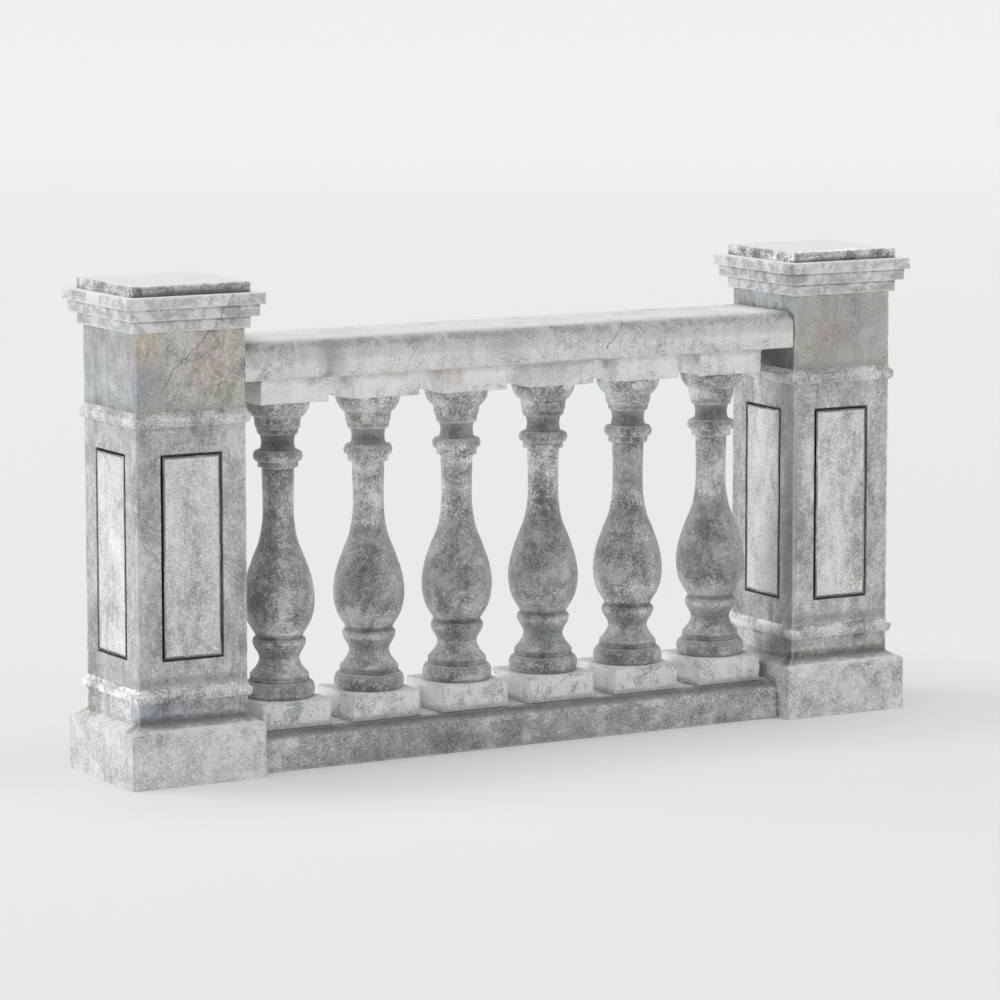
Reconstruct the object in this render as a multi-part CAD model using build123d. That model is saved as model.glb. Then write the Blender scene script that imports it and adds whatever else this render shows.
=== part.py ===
from build123d import *

import os

# One bay of a stone balustrade: turned balusters between two panelled piers.
# Millimetres, +Z up. X runs along the bay and -Y is the front.
# The origin is on the floor, midway between the piers.

# Bay, and the height of the top rail's upper face over the floor
pier_spacing = 1705.0
guard_height = 963.0
baluster_count = 6
end_die_gap = 28.0

# Pier plinth, with a weathered top that slopes back to the shaft
shaft_width = 267.0
plinth_projection = 31.0
plinth_side_height = 122.5
plinth_weathering_rise = 14.5
plinth_nose_radius = 8.0
plinth_cove_radius = 5.0

# Pier base course, with a moulding round its head
base_block_height = 41.0
base_moulding_projection = 9.0
base_roll_height = 16.0
base_band_height = 6.0
base_cavetto_height = 11.0

# Panels let into the four faces of the pier die
panel_side_border = 58.5
panel_end_border = 59.0
panel_groove = 5.0
panel_thickness = 14.0

# Astragal under the neck of the pier
astragal_projection = 9.0
astragal_roll_height = 14.0
astragal_band_height = 9.0
astragal_cavetto_height = 13.0

# Pier neck, which the top rail runs into
neck_below_rail = 52.0
neck_above_rail = 37.0

# Cornice of three stepped fasciae, and the cap slab on it
fascia_height = 26.2
lower_fascia_projection = 10.0
middle_fascia_projection = 25.7
upper_fascia_projection = 35.2
fascia_arris = 1.5
cap_projection = 10.1
cap_height = 24.5
cap_arris = 4.0

# Rails
bottom_rail_depth = 240.0
bottom_rail_height = 88.0
bottom_rail_nose_radius = 40.0
top_rail_depth = 260.0
top_rail_height = 85.0
top_rail_nose_radius = 28.0

# Square die and abacus of a baluster
die_width = 174.0
die_height = 62.0
abacus_width = 174.0
abacus_height = 60.0
block_arris = 1.5

# Turned foot of a baluster: torus, fillet, scotia and lip, up to the groove
torus_setback = 6.0
torus_height = 37.0
torus_crest_share = 0.45
torus_foot_setback = 10.0
torus_head_setback = 18.5
foot_fillet_radius = 69.0
foot_fillet_height = 14.0
scotia_radius = 46.7
scotia_lower_height = 34.0
scotia_upper_height = 33.0
lip_radius = 62.0
lip_height = 19.0
groove_radius = 55.5

# Vase of a baluster: the belly, drawn in to a slim neck; its levels are shares of its height
belly_radius = 82.0
belly_level_share = 0.21
shoulder_radius = 60.0
shoulder_level_share = 0.455
throat_radius = 38.6
throat_level_share = 0.64
neck_radius = 36.2
neck_level_share = 0.837
neck_head_radius = 38.0

# Collar of a baluster: a fillet with a torus on it
collar_fillet_radius = 47.5
collar_fillet_height = 15.0
collar_radius = 57.0
collar_height = 26.0

# Capital of a baluster: necking, bead, band and echinus
necking_radius = 38.5
necking_end_radius = 42.0
necking_height = 34.0
bead_foot_radius = 45.5
bead_radius = 49.0
bead_height = 15.0
band_foot_radius = 51.5
band_head_radius = 54.5
band_height = 24.0
echinus_foot_radius = 57.5
echinus_setback = 12.0
echinus_height = 37.0

# Levels and places worked out from the sizes above
half_shaft = shaft_width / 2
half_spacing = pier_spacing / 2
plinth_height = plinth_side_height + plinth_weathering_rise + plinth_cove_radius
base_course_height = base_block_height + base_roll_height + base_band_height + base_cavetto_height
astragal_height = astragal_roll_height + astragal_band_height + astragal_cavetto_height
top_rail_level = guard_height - top_rail_height
turned_height = top_rail_level - abacus_height - die_height - bottom_rail_height
foot_height = torus_height + foot_fillet_height + scotia_lower_height + scotia_upper_height + lip_height
full_collar_height = collar_fillet_height + collar_height
capital_height = necking_height + bead_height + band_height + echinus_height
vase_height = turned_height - foot_height - full_collar_height - capital_height
neck_level = top_rail_level - neck_below_rail
neck_height = neck_below_rail + top_rail_height + neck_above_rail
pier_die_level = plinth_height + base_course_height
pier_die_height = neck_level - astragal_height - pier_die_level
cornice_level = neck_level + neck_height
fascia_projections = (lower_fascia_projection, middle_fascia_projection, upper_fascia_projection)
cap_level = cornice_level + fascia_height * len(fascia_projections)
plinth_width = shaft_width + 2 * plinth_projection
end_axis = half_spacing - half_shaft - plinth_projection - end_die_gap - die_width / 2
baluster_pitch = 2 * end_axis / (baluster_count - 1)
torus_radius = die_width / 2 - torus_setback
echinus_radius = abacus_width / 2 - echinus_setback

# Directions of the outlines
upwards = (0, 0, 1)
downwards = (0, 0, -1)
outwards = (1, 0, 0)
inwards = (-1, 0, 0)
inwards_up = (-1, 0, 1)
outwards_up = (0.6, 0, 1)


def at(reach, level):
    """Point of a half section, in the XZ plane."""
    return (reach, 0, level)


def standing_box(width, height):
    """Square block that stands on its own level zero."""
    return Box(width, width, height, align=(Align.CENTER, Align.CENTER, Align.MIN))


def eased_block(width, height, arris, foot=False, head=False):
    """Square block with its upright arrises taken off, and those of its foot and head where asked."""
    block = standing_box(width, height)
    lowest, *upright, highest = block.edges().group_by(Axis.Z)
    sharp = [edge for group in upright for edge in group]
    if foot:
        sharp += lowest
    if head:
        sharp += highest
    return chamfer(sharp, length=arris)


def square_course(outline, reach):
    """Stone that is square in plan and has the closed half section on all its sides."""
    half_section = make_face(outline)
    section = half_section + mirror(half_section, Plane.YZ)
    along_y = extrude(section, amount=reach, dir=(0, 1, 0), both=True)
    return along_y & Rot(0, 0, 90) * along_y


def plinth():
    """Plinth block with a rounded nose, a sloping top and a cove up to the shaft."""
    half_plinth = plinth_width / 2
    cove_foot = at(half_shaft + plinth_cove_radius, plinth_side_height + plinth_weathering_rise)
    cove_head = at(half_shaft, plinth_height)
    side = FilletPolyline(
        at(half_plinth, 0),
        at(half_plinth, plinth_side_height),
        cove_foot,
        radius=plinth_nose_radius,
    )
    cove = TangentArc(cove_head, cove_foot, tangent=downwards)
    closing = Polyline(cove_head, at(0, plinth_height), at(0, 0), at(half_plinth, 0))
    return square_course(side + cove + closing, half_plinth)


def moulded_course(projection, block_height, roll_height, band_height, cavetto_height):
    """Course of the shaft's width with a roll, a band and a cavetto round its head."""
    crest = half_shaft + projection
    roll_foot = at(half_shaft, block_height)
    band_foot = at(crest, block_height + roll_height)
    band_head = at(crest, block_height + roll_height + band_height)
    height = block_height + roll_height + band_height + cavetto_height
    head = at(half_shaft, height)
    outline = TangentArc(band_foot, roll_foot, tangent=downwards)
    outline += Line(band_foot, band_head)
    outline += TangentArc(head, band_head, tangent=downwards)
    outline += Polyline(head, at(0, height), at(0, 0))
    outline += Line(at(0, 0), at(half_shaft, 0))
    if block_height > 0:
        outline += Line(at(half_shaft, 0), roll_foot)
    return square_course(outline, crest)


def on_each_face(piece):
    """A piece made for the front, turned to the four faces of a pier."""
    names = ("front", "right", "back", "left")
    return {name: Rot(0, 0, 90 * turn) * piece for turn, name in enumerate(names)}


def front_panel():
    """Panel slab, flush with the die and seated on the back of its recess."""
    width = shaft_width - 2 * (panel_side_border + panel_groove)
    height = pier_die_height - 2 * (panel_end_border + panel_groove)
    slab = Box(width, panel_thickness, height)
    return Pos(0, panel_thickness / 2 - half_shaft, pier_die_height / 2) * slab


def pier_die():
    """Die of the pier, with a recess in each face."""
    width = shaft_width - 2 * panel_side_border
    height = pier_die_height - 2 * panel_end_border
    cut = Pos(0, -half_shaft, pier_die_height / 2) * Box(width, 2 * panel_thickness, height)
    stone = standing_box(shaft_width, pier_die_height)
    for recess in on_each_face(cut).values():
        stone -= recess
    return stone


def cornice():
    """Fasciae that each stand out over the one below; only the top one shows its upper edge."""
    top = len(fascia_projections) - 1
    stone = None
    for step, projection in enumerate(fascia_projections):
        width = shaft_width + 2 * projection
        fascia = eased_block(width, fascia_height, fascia_arris, foot=True, head=step == top)
        fascia = Pos(0, 0, step * fascia_height) * fascia
        stone = fascia if stone is None else stone + fascia
    return stone


def cap():
    """Cap slab with its upper arrises well worn."""
    return eased_block(shaft_width + 2 * cap_projection, cap_height, cap_arris, head=True)


def pier(name, side):
    """Named stones of one pier at its place; side is -1 at the left end and 1 at the right."""
    stones = {
        "plinth": plinth(),
        "base_course": Pos(0, 0, plinth_height) * moulded_course(
            base_moulding_projection,
            base_block_height,
            base_roll_height,
            base_band_height,
            base_cavetto_height,
        ),
        "die": Pos(0, 0, pier_die_level) * pier_die(),
        "astragal": Pos(0, 0, neck_level - astragal_height) * moulded_course(
            astragal_projection,
            0,
            astragal_roll_height,
            astragal_band_height,
            astragal_cavetto_height,
        ),
        "neck": Pos(0, 0, neck_level) * standing_box(shaft_width, neck_height),
        "cornice": Pos(0, 0, cornice_level) * cornice(),
        "cap": Pos(0, 0, cap_level) * cap(),
    }
    for face, slab in on_each_face(front_panel()).items():
        stones[f"{face}_panel"] = Pos(0, 0, pier_die_level) * slab
    place = Pos(side * half_spacing, 0, 0)
    return {f"{name}_pier_{stone}": place * solid for stone, solid in stones.items()}


def rail(length, depth, height, nose_radius):
    """Straight rail along the bay with both of its upper edges rounded."""
    section = Rectangle(depth, height, align=(Align.CENTER, Align.MIN))
    section = fillet(section.vertices().group_by(Axis.Y)[-1], radius=nose_radius)
    return extrude(Plane.YZ * section, amount=length / 2, both=True)


def foot_outline(level):
    """Torus, fillet, scotia and lip, from the die up to the groove."""
    torus_head = level + torus_height
    torus_end = at(torus_radius - torus_head_setback, torus_head)
    fillet_head = torus_head + foot_fillet_height
    waist = fillet_head + scotia_lower_height
    crest = waist + scotia_upper_height
    scotia_foot = at(foot_fillet_radius, fillet_head)
    lip = at(lip_radius, crest)
    outline = Spline(
        at(torus_radius - torus_foot_setback, level),
        at(torus_radius, level + torus_crest_share * torus_height),
        torus_end,
        tangents=(outwards, inwards),
    )
    outline += Polyline(torus_end, at(foot_fillet_radius, torus_head), scotia_foot)
    outline += Spline(scotia_foot, at(scotia_radius, waist), lip, tangents=(inwards_up, upwards))
    outline += TangentArc(lip, at(groove_radius, crest + lip_height), tangent=upwards)
    return outline


def vase_outline(level):
    """Belly, shoulder, throat and slim neck, from the groove up to the collar."""
    slimmest = at(neck_radius, level + neck_level_share * vase_height)
    outline = Spline(
        at(groove_radius, level),
        at(belly_radius, level + belly_level_share * vase_height),
        at(shoulder_radius, level + shoulder_level_share * vase_height),
        at(throat_radius, level + throat_level_share * vase_height),
        slimmest,
        tangents=(outwards_up, upwards),
    )
    outline += Spline(slimmest, at(neck_head_radius, level + vase_height), tangents=(upwards, upwards))
    return outline


def collar_outline(level):
    """Fillet and torus of the collar."""
    fillet_head = level + collar_fillet_height
    outline = Polyline(
        at(neck_head_radius, level), at(collar_fillet_radius, level), at(collar_fillet_radius, fillet_head)
    )
    outline += Spline(
        at(collar_fillet_radius, fillet_head),
        at(collar_radius, fillet_head + collar_height / 2),
        at(necking_end_radius, fillet_head + collar_height),
        tangents=(outwards, inwards),
    )
    return outline


def capital_outline(level):
    """Hollow necking, bead, tapered band and echinus, up to the abacus."""
    bead_foot = level + necking_height
    band_foot = bead_foot + bead_height
    echinus_foot = band_foot + band_height
    outline = Spline(
        at(necking_end_radius, level),
        at(necking_radius, level + necking_height / 2),
        at(necking_end_radius, bead_foot),
    )
    outline += Line(at(necking_end_radius, bead_foot), at(bead_foot_radius, bead_foot))
    outline += TangentArc(at(bead_radius, band_foot), at(bead_foot_radius, bead_foot), tangent=downwards)
    outline += Polyline(
        at(bead_radius, band_foot),
        at(band_foot_radius, band_foot),
        at(band_head_radius, echinus_foot),
        at(echinus_foot_radius, echinus_foot),
    )
    outline += TangentArc(
        at(echinus_radius, echinus_foot + echinus_height),
        at(echinus_foot_radius, echinus_foot),
        tangent=downwards,
    )
    return outline


def baluster():
    """One baluster: a square die, a turned vase and a square abacus, all of one stone."""
    vase_level = die_height + foot_height
    collar_level = vase_level + vase_height
    capital_level = collar_level + full_collar_height
    head = die_height + turned_height
    outline = foot_outline(die_height) + vase_outline(vase_level)
    outline += collar_outline(collar_level) + capital_outline(capital_level)
    outline += Polyline(
        at(echinus_radius, head),
        at(0, head),
        at(0, die_height),
        at(torus_radius - torus_foot_setback, die_height),
    )
    turned = revolve(make_face(outline), axis=Axis.Z)
    die = eased_block(die_width, die_height, block_arris, head=True)
    abacus = eased_block(abacus_width, abacus_height, block_arris, foot=True)
    return die + turned + Pos(0, 0, head) * abacus


def balusters():
    """Balusters at an even pitch along the bay, numbered from the left."""
    stone = baluster()
    return {
        f"baluster_{number + 1}": Pos(number * baluster_pitch - end_axis, 0, bottom_rail_height) * stone
        for number in range(baluster_count)
    }


def rails():
    """Bottom rail between the plinths and top rail between the necks."""
    bottom = rail(
        pier_spacing - plinth_width, bottom_rail_depth, bottom_rail_height, bottom_rail_nose_radius
    )
    top = rail(pier_spacing - shaft_width, top_rail_depth, top_rail_height, top_rail_nose_radius)
    return {"bottom_rail": bottom, "top_rail": Pos(0, 0, top_rail_level) * top}


def build():
    """All the stones of the bay, by name."""
    return {**pier("left", -1), **rails(), **balusters(), **pier("right", 1)}


os.makedirs("parts", exist_ok=True)
for node, solid in build().items():
    export_step(solid, f"parts/{node}.step")
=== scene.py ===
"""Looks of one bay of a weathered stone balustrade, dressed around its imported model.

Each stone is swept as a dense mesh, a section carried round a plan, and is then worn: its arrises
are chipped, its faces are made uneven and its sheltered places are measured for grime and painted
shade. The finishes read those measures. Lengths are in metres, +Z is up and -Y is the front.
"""

import logging
import math
from dataclasses import dataclass, field
from enum import Enum
from typing import Any

import bmesh
import bpy
import numpy as np
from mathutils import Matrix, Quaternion, Vector


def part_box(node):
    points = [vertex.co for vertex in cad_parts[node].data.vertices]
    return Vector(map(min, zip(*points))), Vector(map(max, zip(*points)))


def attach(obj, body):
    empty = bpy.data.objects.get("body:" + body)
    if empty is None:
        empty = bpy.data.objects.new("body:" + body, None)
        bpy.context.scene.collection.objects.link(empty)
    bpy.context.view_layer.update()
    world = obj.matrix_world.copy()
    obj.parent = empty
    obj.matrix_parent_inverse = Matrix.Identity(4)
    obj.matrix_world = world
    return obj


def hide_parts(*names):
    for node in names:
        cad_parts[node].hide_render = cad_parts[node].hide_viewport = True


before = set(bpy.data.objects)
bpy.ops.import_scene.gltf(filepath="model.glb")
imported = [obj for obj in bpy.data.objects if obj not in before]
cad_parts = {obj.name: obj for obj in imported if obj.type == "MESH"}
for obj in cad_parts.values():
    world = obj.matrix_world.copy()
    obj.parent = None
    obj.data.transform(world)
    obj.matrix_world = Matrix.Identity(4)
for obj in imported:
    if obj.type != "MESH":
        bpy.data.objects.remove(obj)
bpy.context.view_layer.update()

LOG = logging.getLogger("balustrade")
BODY = "root"

Socket = bpy.types.NodeSocket
Point = tuple[float, float]
Triple = tuple[float, float, float]
Colour = tuple[float, float, float]


class Slot(Enum):
    """Material slots of the record."""

    PIER = "pier_stone"
    PANEL = "panel_stone"
    NECK = "neck_stone"
    CORNICE = "cornice_stone"
    PLINTH = "plinth_stone"
    RAIL = "rail_stone"
    BALUSTER = "baluster_stone"


class Kind(Enum):
    """Kinds of stone in the bay, each with its own finish."""

    SHAFT = "shaft"
    BASE = "base"
    PANEL = "panel"
    NECK = "neck"
    CORNICE = "cornice"
    CAP = "cap"
    PLINTH = "plinth"
    TOP_RAIL = "top_rail"
    BOTTOM_RAIL = "bottom_rail"
    BALUSTER = "baluster"


class Face(Enum):
    """Faces of a pier, as quarter turns from the front."""

    FRONT = 0
    RIGHT = 1
    BACK = 2
    LEFT = 3


class Stretch(Enum):
    """How the stretch of an outline that ends at a point is made."""

    FACE = "a straight stretch that shows, cut into short lengths"
    BED = "a straight stretch in a joint, left whole"
    CURVE = "a short chord of a curve"


class Block(Enum):
    """Readings that mark the square blocks of a baluster, which are made paler than its vase; the abacus is
    made palest, painted light against the shade of the top rail.
    """

    NONE = 0.0
    SOILED = 0.5
    # The abacus reading also carries painted light, which makes the abacus paler under the shade of the top
    # rail.
    CLEAN = 1.0


@dataclass(frozen=True)
class Noise:
    """A fractal noise: number and weight of its finer layers, its warp, and a shift of its own."""

    detail: float
    rough: float
    warp: float = 0.0
    shift: Triple = (0.0, 0.0, 0.0)


class Graph:
    """A node tree under construction, with short calls for the nodes that it uses most."""

    MIDDLE = 0.5

    def __init__(self, tree: bpy.types.NodeTree) -> None:
        """Keeps the tree that the calls add to."""
        self.tree = tree

    def add(self, kind: str, inputs: dict[str | int, Any] | None = None, **options: Any) -> bpy.types.Node:
        """Adds a node, sets its options and fills its inputs.

        Args:
            kind: Type of the node.
            inputs: Values, or sockets to link, by the input's name or number.
            **options: Settings of the node itself.

        Returns:
            The new node.
        """
        node = self.tree.nodes.new(kind)
        for name, value in options.items():
            setattr(node, name, value)
        self.fill(node, inputs or {})
        return node

    def fill(self, node: bpy.types.Node, inputs: dict[str | int, Any]) -> None:
        """Fills the inputs of a node.

        Args:
            node: The node.
            inputs: Values, or sockets to link, by the input's name or number.
        """
        for key, value in inputs.items():
            if isinstance(value, Socket):
                self.link(value, node.inputs[key])
            else:
                node.inputs[key].default_value = value

    def link(self, source: Socket, target: Socket) -> None:
        """Links an output to an input."""
        self.tree.links.new(source, target)

    def math(self, operation: str, first: Any, second: Any = 0.0, clamp: bool = False) -> Socket:
        """Adds one step of arithmetic on numbers, kept between 0 and 1 if clamped."""
        node = self.add("ShaderNodeMath", {0: first, 1: second}, operation=operation, use_clamp=clamp)
        return node.outputs[0]

    def total(self, *terms: Any) -> Socket:
        """Adds the sum of some numbers.

        Args:
            *terms: Numbers or sockets, in order.

        Returns:
            The socket of the sum.
        """
        result = terms[0]
        for term in terms[1:]:
            result = self.math("ADD", result, term)
        return result

    def swing(self, reading: Any, gain: Any) -> Socket:
        """Adds how far a reading from 0 to 1 lies from its middle, times a gain."""
        return self.math("MULTIPLY", self.math("SUBTRACT", reading, self.MIDDLE), gain)

    def rest(self, share: Any) -> Socket:
        """Adds what a share leaves of the whole."""
        return self.math("SUBTRACT", 1.0, share)

    def vector(self, operation: str, first: Any, second: Any = (0.0, 0.0, 0.0)) -> Socket:
        """Adds one step of arithmetic on vectors, which gives a number for products and lengths."""
        node = self.add("ShaderNodeVectorMath", {0: first, 1: second}, operation=operation)
        return node.outputs["Value" if operation in ("DOT_PRODUCT", "LENGTH", "DISTANCE") else "Vector"]

    def scaled(self, vector: Any, factor: Any) -> Socket:
        """Adds the product of a vector and a number."""
        node = self.add("ShaderNodeVectorMath", {"Vector": vector, "Scale": factor}, operation="SCALE")
        return node.outputs["Vector"]

    def smooth(self, value: Any, low: Any, high: Any) -> Socket:
        """Adds a smooth rise from 0 at the low value to 1 at the high one."""
        inputs = {"Value": value, "From Min": low, "From Max": high}
        return self.add("ShaderNodeMapRange", inputs, interpolation_type="SMOOTHSTEP").outputs["Result"]

    def noise(self, place: Any, scale: Any, noise: Noise, output: str = "Fac") -> Socket:
        """Adds fractal noise.

        Args:
            place: Coordinates that the noise is read at.
            scale: Features in a metre.
            noise: Its other settings.
            output: Fac for one value from 0 to 1, or Color for three of them.

        Returns:
            The socket of the noise.
        """
        inputs = {"Vector": self.vector("ADD", place, noise.shift), "Scale": scale}
        inputs |= {"Detail": noise.detail, "Roughness": noise.rough, "Distortion": noise.warp}
        return self.add("ShaderNodeTexNoise", inputs).outputs[output]

    def attribute(self, name: str, output: str = "Fac") -> Socket:
        """Adds a reading that is stored on the stone, for a shader."""
        return self.add("ShaderNodeAttribute", attribute_name=name).outputs[output]

    def named(self, name: str) -> Socket:
        """Adds a reading that is stored on the stone, for geometry nodes."""
        return self.add("GeometryNodeInputNamedAttribute", {"Name": name}, data_type="FLOAT").outputs[0]

    def mix(self, factor: Any, first: Any, second: Any) -> Socket:
        """Adds a mix of two colours.

        Args:
            factor: Share of the second colour.
            first: First colour or socket.
            second: Second colour or socket.

        Returns:
            The socket of the mixed colour.
        """
        node = self.add("ShaderNodeMix", {"Factor": factor}, data_type="RGBA")
        colours = [socket for socket in node.inputs if socket.type == "RGBA"]
        for socket, value in zip(colours, (first, second)):
            if isinstance(value, Socket):
                self.link(value, socket)
            else:
                socket.default_value = (*value, 1.0)
        return next(socket for socket in node.outputs if socket.type == "RGBA")


Sockets = dict[str, str]


def new_group(name: str, kind: str, inputs: Sockets, outputs: Sockets) -> tuple[Graph, Any, Any]:
    """Starts a node group with named sockets.

    Args:
        name: Name of the group.
        kind: Type of the tree.
        inputs: Type of each input socket, by its name.
        outputs: Type of each output socket, by its name.

    Returns:
        The graph, the outputs of its input node and the inputs of its output node.
    """
    tree = bpy.data.node_groups.new(name, kind)
    for socket, socket_type in inputs.items():
        tree.interface.new_socket(socket, in_out="INPUT", socket_type=socket_type)
    for socket, socket_type in outputs.items():
        tree.interface.new_socket(socket, in_out="OUTPUT", socket_type=socket_type)
    graph = Graph(tree)
    return graph, graph.add("NodeGroupInput").outputs, graph.add("NodeGroupOutput").inputs


@dataclass(frozen=True)
class Carving:
    """How finely stones are cut, and how their corners are read as arrises and hollows."""

    face_step: float = 0.0052
    curve_step: float = 0.0028
    easing: float = 0.0016
    sharp_turn: float = math.radians(24)
    full_turn: float = math.radians(62)
    corner_share: float = 0.4
    arc_share: float = 1.11
    arc_least: int = 3
    span_least: int = 2
    reading: float = 0.0034
    edge_steps: tuple[float, ...] = (0.0016, 0.0034, 0.0060)
    decimals: int = 7

    def cuts(self, length: float) -> np.ndarray:
        """Places where a straight stretch is cut, closer together near its two ends.

        Args:
            length: Length of the stretch.

        Returns:
            Distances from its start, without the start and with the end.
        """
        near = [step for step in self.edge_steps if step < (length - self.face_step) / 2]
        inset = near[-1] if near else 0.0
        count = max(1, round((length - 2 * inset) / self.face_step))
        inner = np.linspace(inset, length - inset, count + 1)
        places = [*near, *inner, *(length - step for step in near), length]
        return np.unique(np.round(places, self.decimals))[0 if near else 1:]


CARVING = Carving()


@dataclass
class Outline:
    """A line in a plane that grows from point to point, around a stone or up its half section."""

    points: list[Point]
    stretches: list[Stretch] = field(default_factory=lambda: [Stretch.BED])

    @property
    def end(self) -> Point:
        """Last point so far."""
        return self.points[-1]

    def add(self, point: Point, stretch: Stretch) -> "Outline":
        """Adds one point.

        Args:
            point: The point.
            stretch: How the stretch that ends there is made.

        Returns:
            The outline.
        """
        self.points.append(point)
        self.stretches.append(stretch)
        return self

    def to(self, across: float, up: float) -> "Outline":
        """Adds a straight stretch that shows."""
        return self.add((across, up), Stretch.FACE)

    def bed(self, across: float, up: float) -> "Outline":
        """Adds a straight stretch that lies in a joint."""
        return self.add((across, up), Stretch.BED)

    def quarter(self, across: float, up: float, upright_first: bool) -> "Outline":
        """Adds a quarter of an ellipse.

        Args:
            across: First coordinate of its end.
            up: Second coordinate of its end.
            upright_first: Whether it sets out upright and arrives level, or the other way round.

        Returns:
            The outline.
        """
        start_across, start_up = self.end
        span, rise = across - start_across, up - start_up
        length = math.hypot(span, rise) * CARVING.arc_share
        count = max(CARVING.arc_least, round(length / CARVING.curve_step))
        for number in range(1, count + 1):
            angle = math.pi / 2 * number / count
            late, early = 1 - math.cos(angle), math.sin(angle)
            shares = (late, early) if upright_first else (early, late)
            self.add((start_across + span * shares[0], start_up + rise * shares[1]), Stretch.CURVE)
        return self

    def through(self, *knots: Point, leaving: Point, arriving: Point) -> "Outline":
        """Adds a smooth curve through points.

        Args:
            *knots: Points after the present end, in order.
            leaving: Direction at the start.
            arriving: Direction at the last point.

        Returns:
            The outline.
        """
        stops = np.array([self.end, *knots])
        spans = np.linalg.norm(np.diff(stops, axis=0), axis=1)
        slopes = np.gradient(stops, np.concatenate(([0.0], np.cumsum(spans))), axis=0)
        slopes[0] = np.array(leaving) / np.linalg.norm(leaving)
        slopes[-1] = np.array(arriving) / np.linalg.norm(arriving)
        for first in range(len(spans)):
            count = max(CARVING.span_least, round(spans[first] / CARVING.curve_step))
            for number in range(1, count + 1):
                t = number / count
                place = (
                    (1 + 2 * t) * (1 - t) ** 2 * stops[first]
                    + t * (1 - t) ** 2 * spans[first] * slopes[first]
                    + t**2 * (3 - 2 * t) * stops[first + 1]
                    + t**2 * (t - 1) * spans[first] * slopes[first + 1]
                )
                self.add((float(place[0]), float(place[1])), Stretch.CURVE)
        return self

    def eased(self, closed: bool, easing: float) -> "Outline":
        """Rounds the sharp corners with three short chords, except at the edges of a joint.

        Args:
            closed: Whether the last point joins the first.
            easing: Length of the rounding on both sides of a corner.

        Returns:
            A new outline.
        """
        places = np.array(self.points)
        count = len(places)
        rounded = Outline([], [])
        for index in range(count):
            corner = places[index]
            inner = closed or 0 < index < count - 1
            before, after = corner - places[index - 1], places[(index + 1) % count] - corner
            lengths = np.linalg.norm(before), np.linalg.norm(after)
            turn = abs(turn_between(before, after)) if inner else 0.0
            joint = Stretch.BED in (self.stretches[index], self.stretches[(index + 1) % count])
            if turn < CARVING.sharp_turn or joint:
                rounded.add(tuple(corner), self.stretches[index])
                continue
            start = corner - before / lengths[0] * min(easing, lengths[0] * CARVING.corner_share)
            end = corner + after / lengths[1] * min(easing, lengths[1] * CARVING.corner_share)
            rounded.add(tuple(start), self.stretches[index])
            # A third and two thirds of the way along the parabola that touches both sides
            rounded.add(tuple((4 * start + 4 * corner + end) / 9), Stretch.CURVE)
            rounded.add(tuple((start + 4 * corner + 4 * end) / 9), Stretch.CURVE)
            rounded.add(tuple(end), Stretch.CURVE)
        return rounded

    def cut(self, closed: bool) -> np.ndarray:
        """Cuts the stretches that show into short lengths.

        Args:
            closed: Whether the last point joins the first.

        Returns:
            All points in order.
        """
        places = [np.array(point) for point in self.points]
        cut = [] if closed else [places[0]]
        for index in range(0 if closed else 1, len(places)):
            start, end = places[index - 1], places[index]
            length = float(np.linalg.norm(end - start))
            if self.stretches[index] is Stretch.FACE and length > CARVING.face_step:
                cut += [start + (end - start) * distance / length for distance in CARVING.cuts(length)]
            else:
                cut.append(end)
        return np.array(cut)


def turn_between(before: np.ndarray, after: np.ndarray) -> float:
    """Angle in radians from one direction in the plane to the next, positive to the left."""
    cross = before[0] * after[1] - before[1] * after[0]
    return math.atan2(cross, float(np.dot(before, after)))


def corner_readings(points: np.ndarray, closed: bool, joints: np.ndarray) -> tuple[np.ndarray, np.ndarray]:
    """Measures how strongly each point of a line lies on an outer or an inner corner.

    Args:
        points: Points in order, anticlockwise round the stone.
        closed: Whether the last point joins the first.
        joints: Which points lie in a joint and are passed over.

    Returns:
        The readings from 0 to 1 of arrises and of hollows.
    """
    steps = np.roll(points, -1, axis=0) - points
    before = np.roll(steps, 1, axis=0)
    turns = np.array([turn_between(*pair) for pair in zip(before, steps)])
    along = np.concatenate(([0.0], np.cumsum(np.linalg.norm(steps, axis=1))))
    length = along[-1]
    turns[joints] = 0.0
    if not closed:
        turns[[0, -1]] = 0.0
    apart = np.abs(along[:-1, None] - along[None, :-1])
    if closed:
        apart = np.minimum(apart, length - apart)
    weights = np.exp(-0.5 * (apart / CARVING.reading) ** 2)
    arris = weights @ np.maximum(turns, 0.0) / CARVING.full_turn
    hollow = weights @ np.maximum(-turns, 0.0) / CARVING.full_turn
    return np.minimum(arris, 1.0), np.minimum(hollow, 1.0) ** 2


def placed(name: str, data: bpy.types.ID) -> bpy.types.Object:
    """Makes an object and links it to the scene.

    Args:
        name: Name of the object.
        data: Mesh, light or camera that it holds.

    Returns:
        The object.
    """
    item = bpy.data.objects.new(name, data)
    bpy.context.scene.collection.objects.link(item)
    return item


def line_object(name: str, points: np.ndarray, readings: dict[str, np.ndarray]) -> bpy.types.Object:
    """Makes a helper object of points in a row, with a reading on each.

    Args:
        name: Name of the object.
        points: Places of the points.
        readings: Values for each point, by the attribute's name.

    Returns:
        The object, linked to the scene.
    """
    mesh = bpy.data.meshes.new(name)
    mesh.from_pydata(points.tolist(), [], [])
    for attribute, values in readings.items():
        layer = mesh.attributes.new(attribute, "FLOAT", "POINT")
        layer.data.foreach_set("value", values.astype(np.float32))
    return placed(name, mesh)


def drop(helper: bpy.types.Object) -> None:
    """Removes a helper object and its mesh.

    Args:
        helper: The object.
    """
    mesh = helper.data
    bpy.data.objects.remove(helper)
    bpy.data.meshes.remove(mesh)


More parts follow.
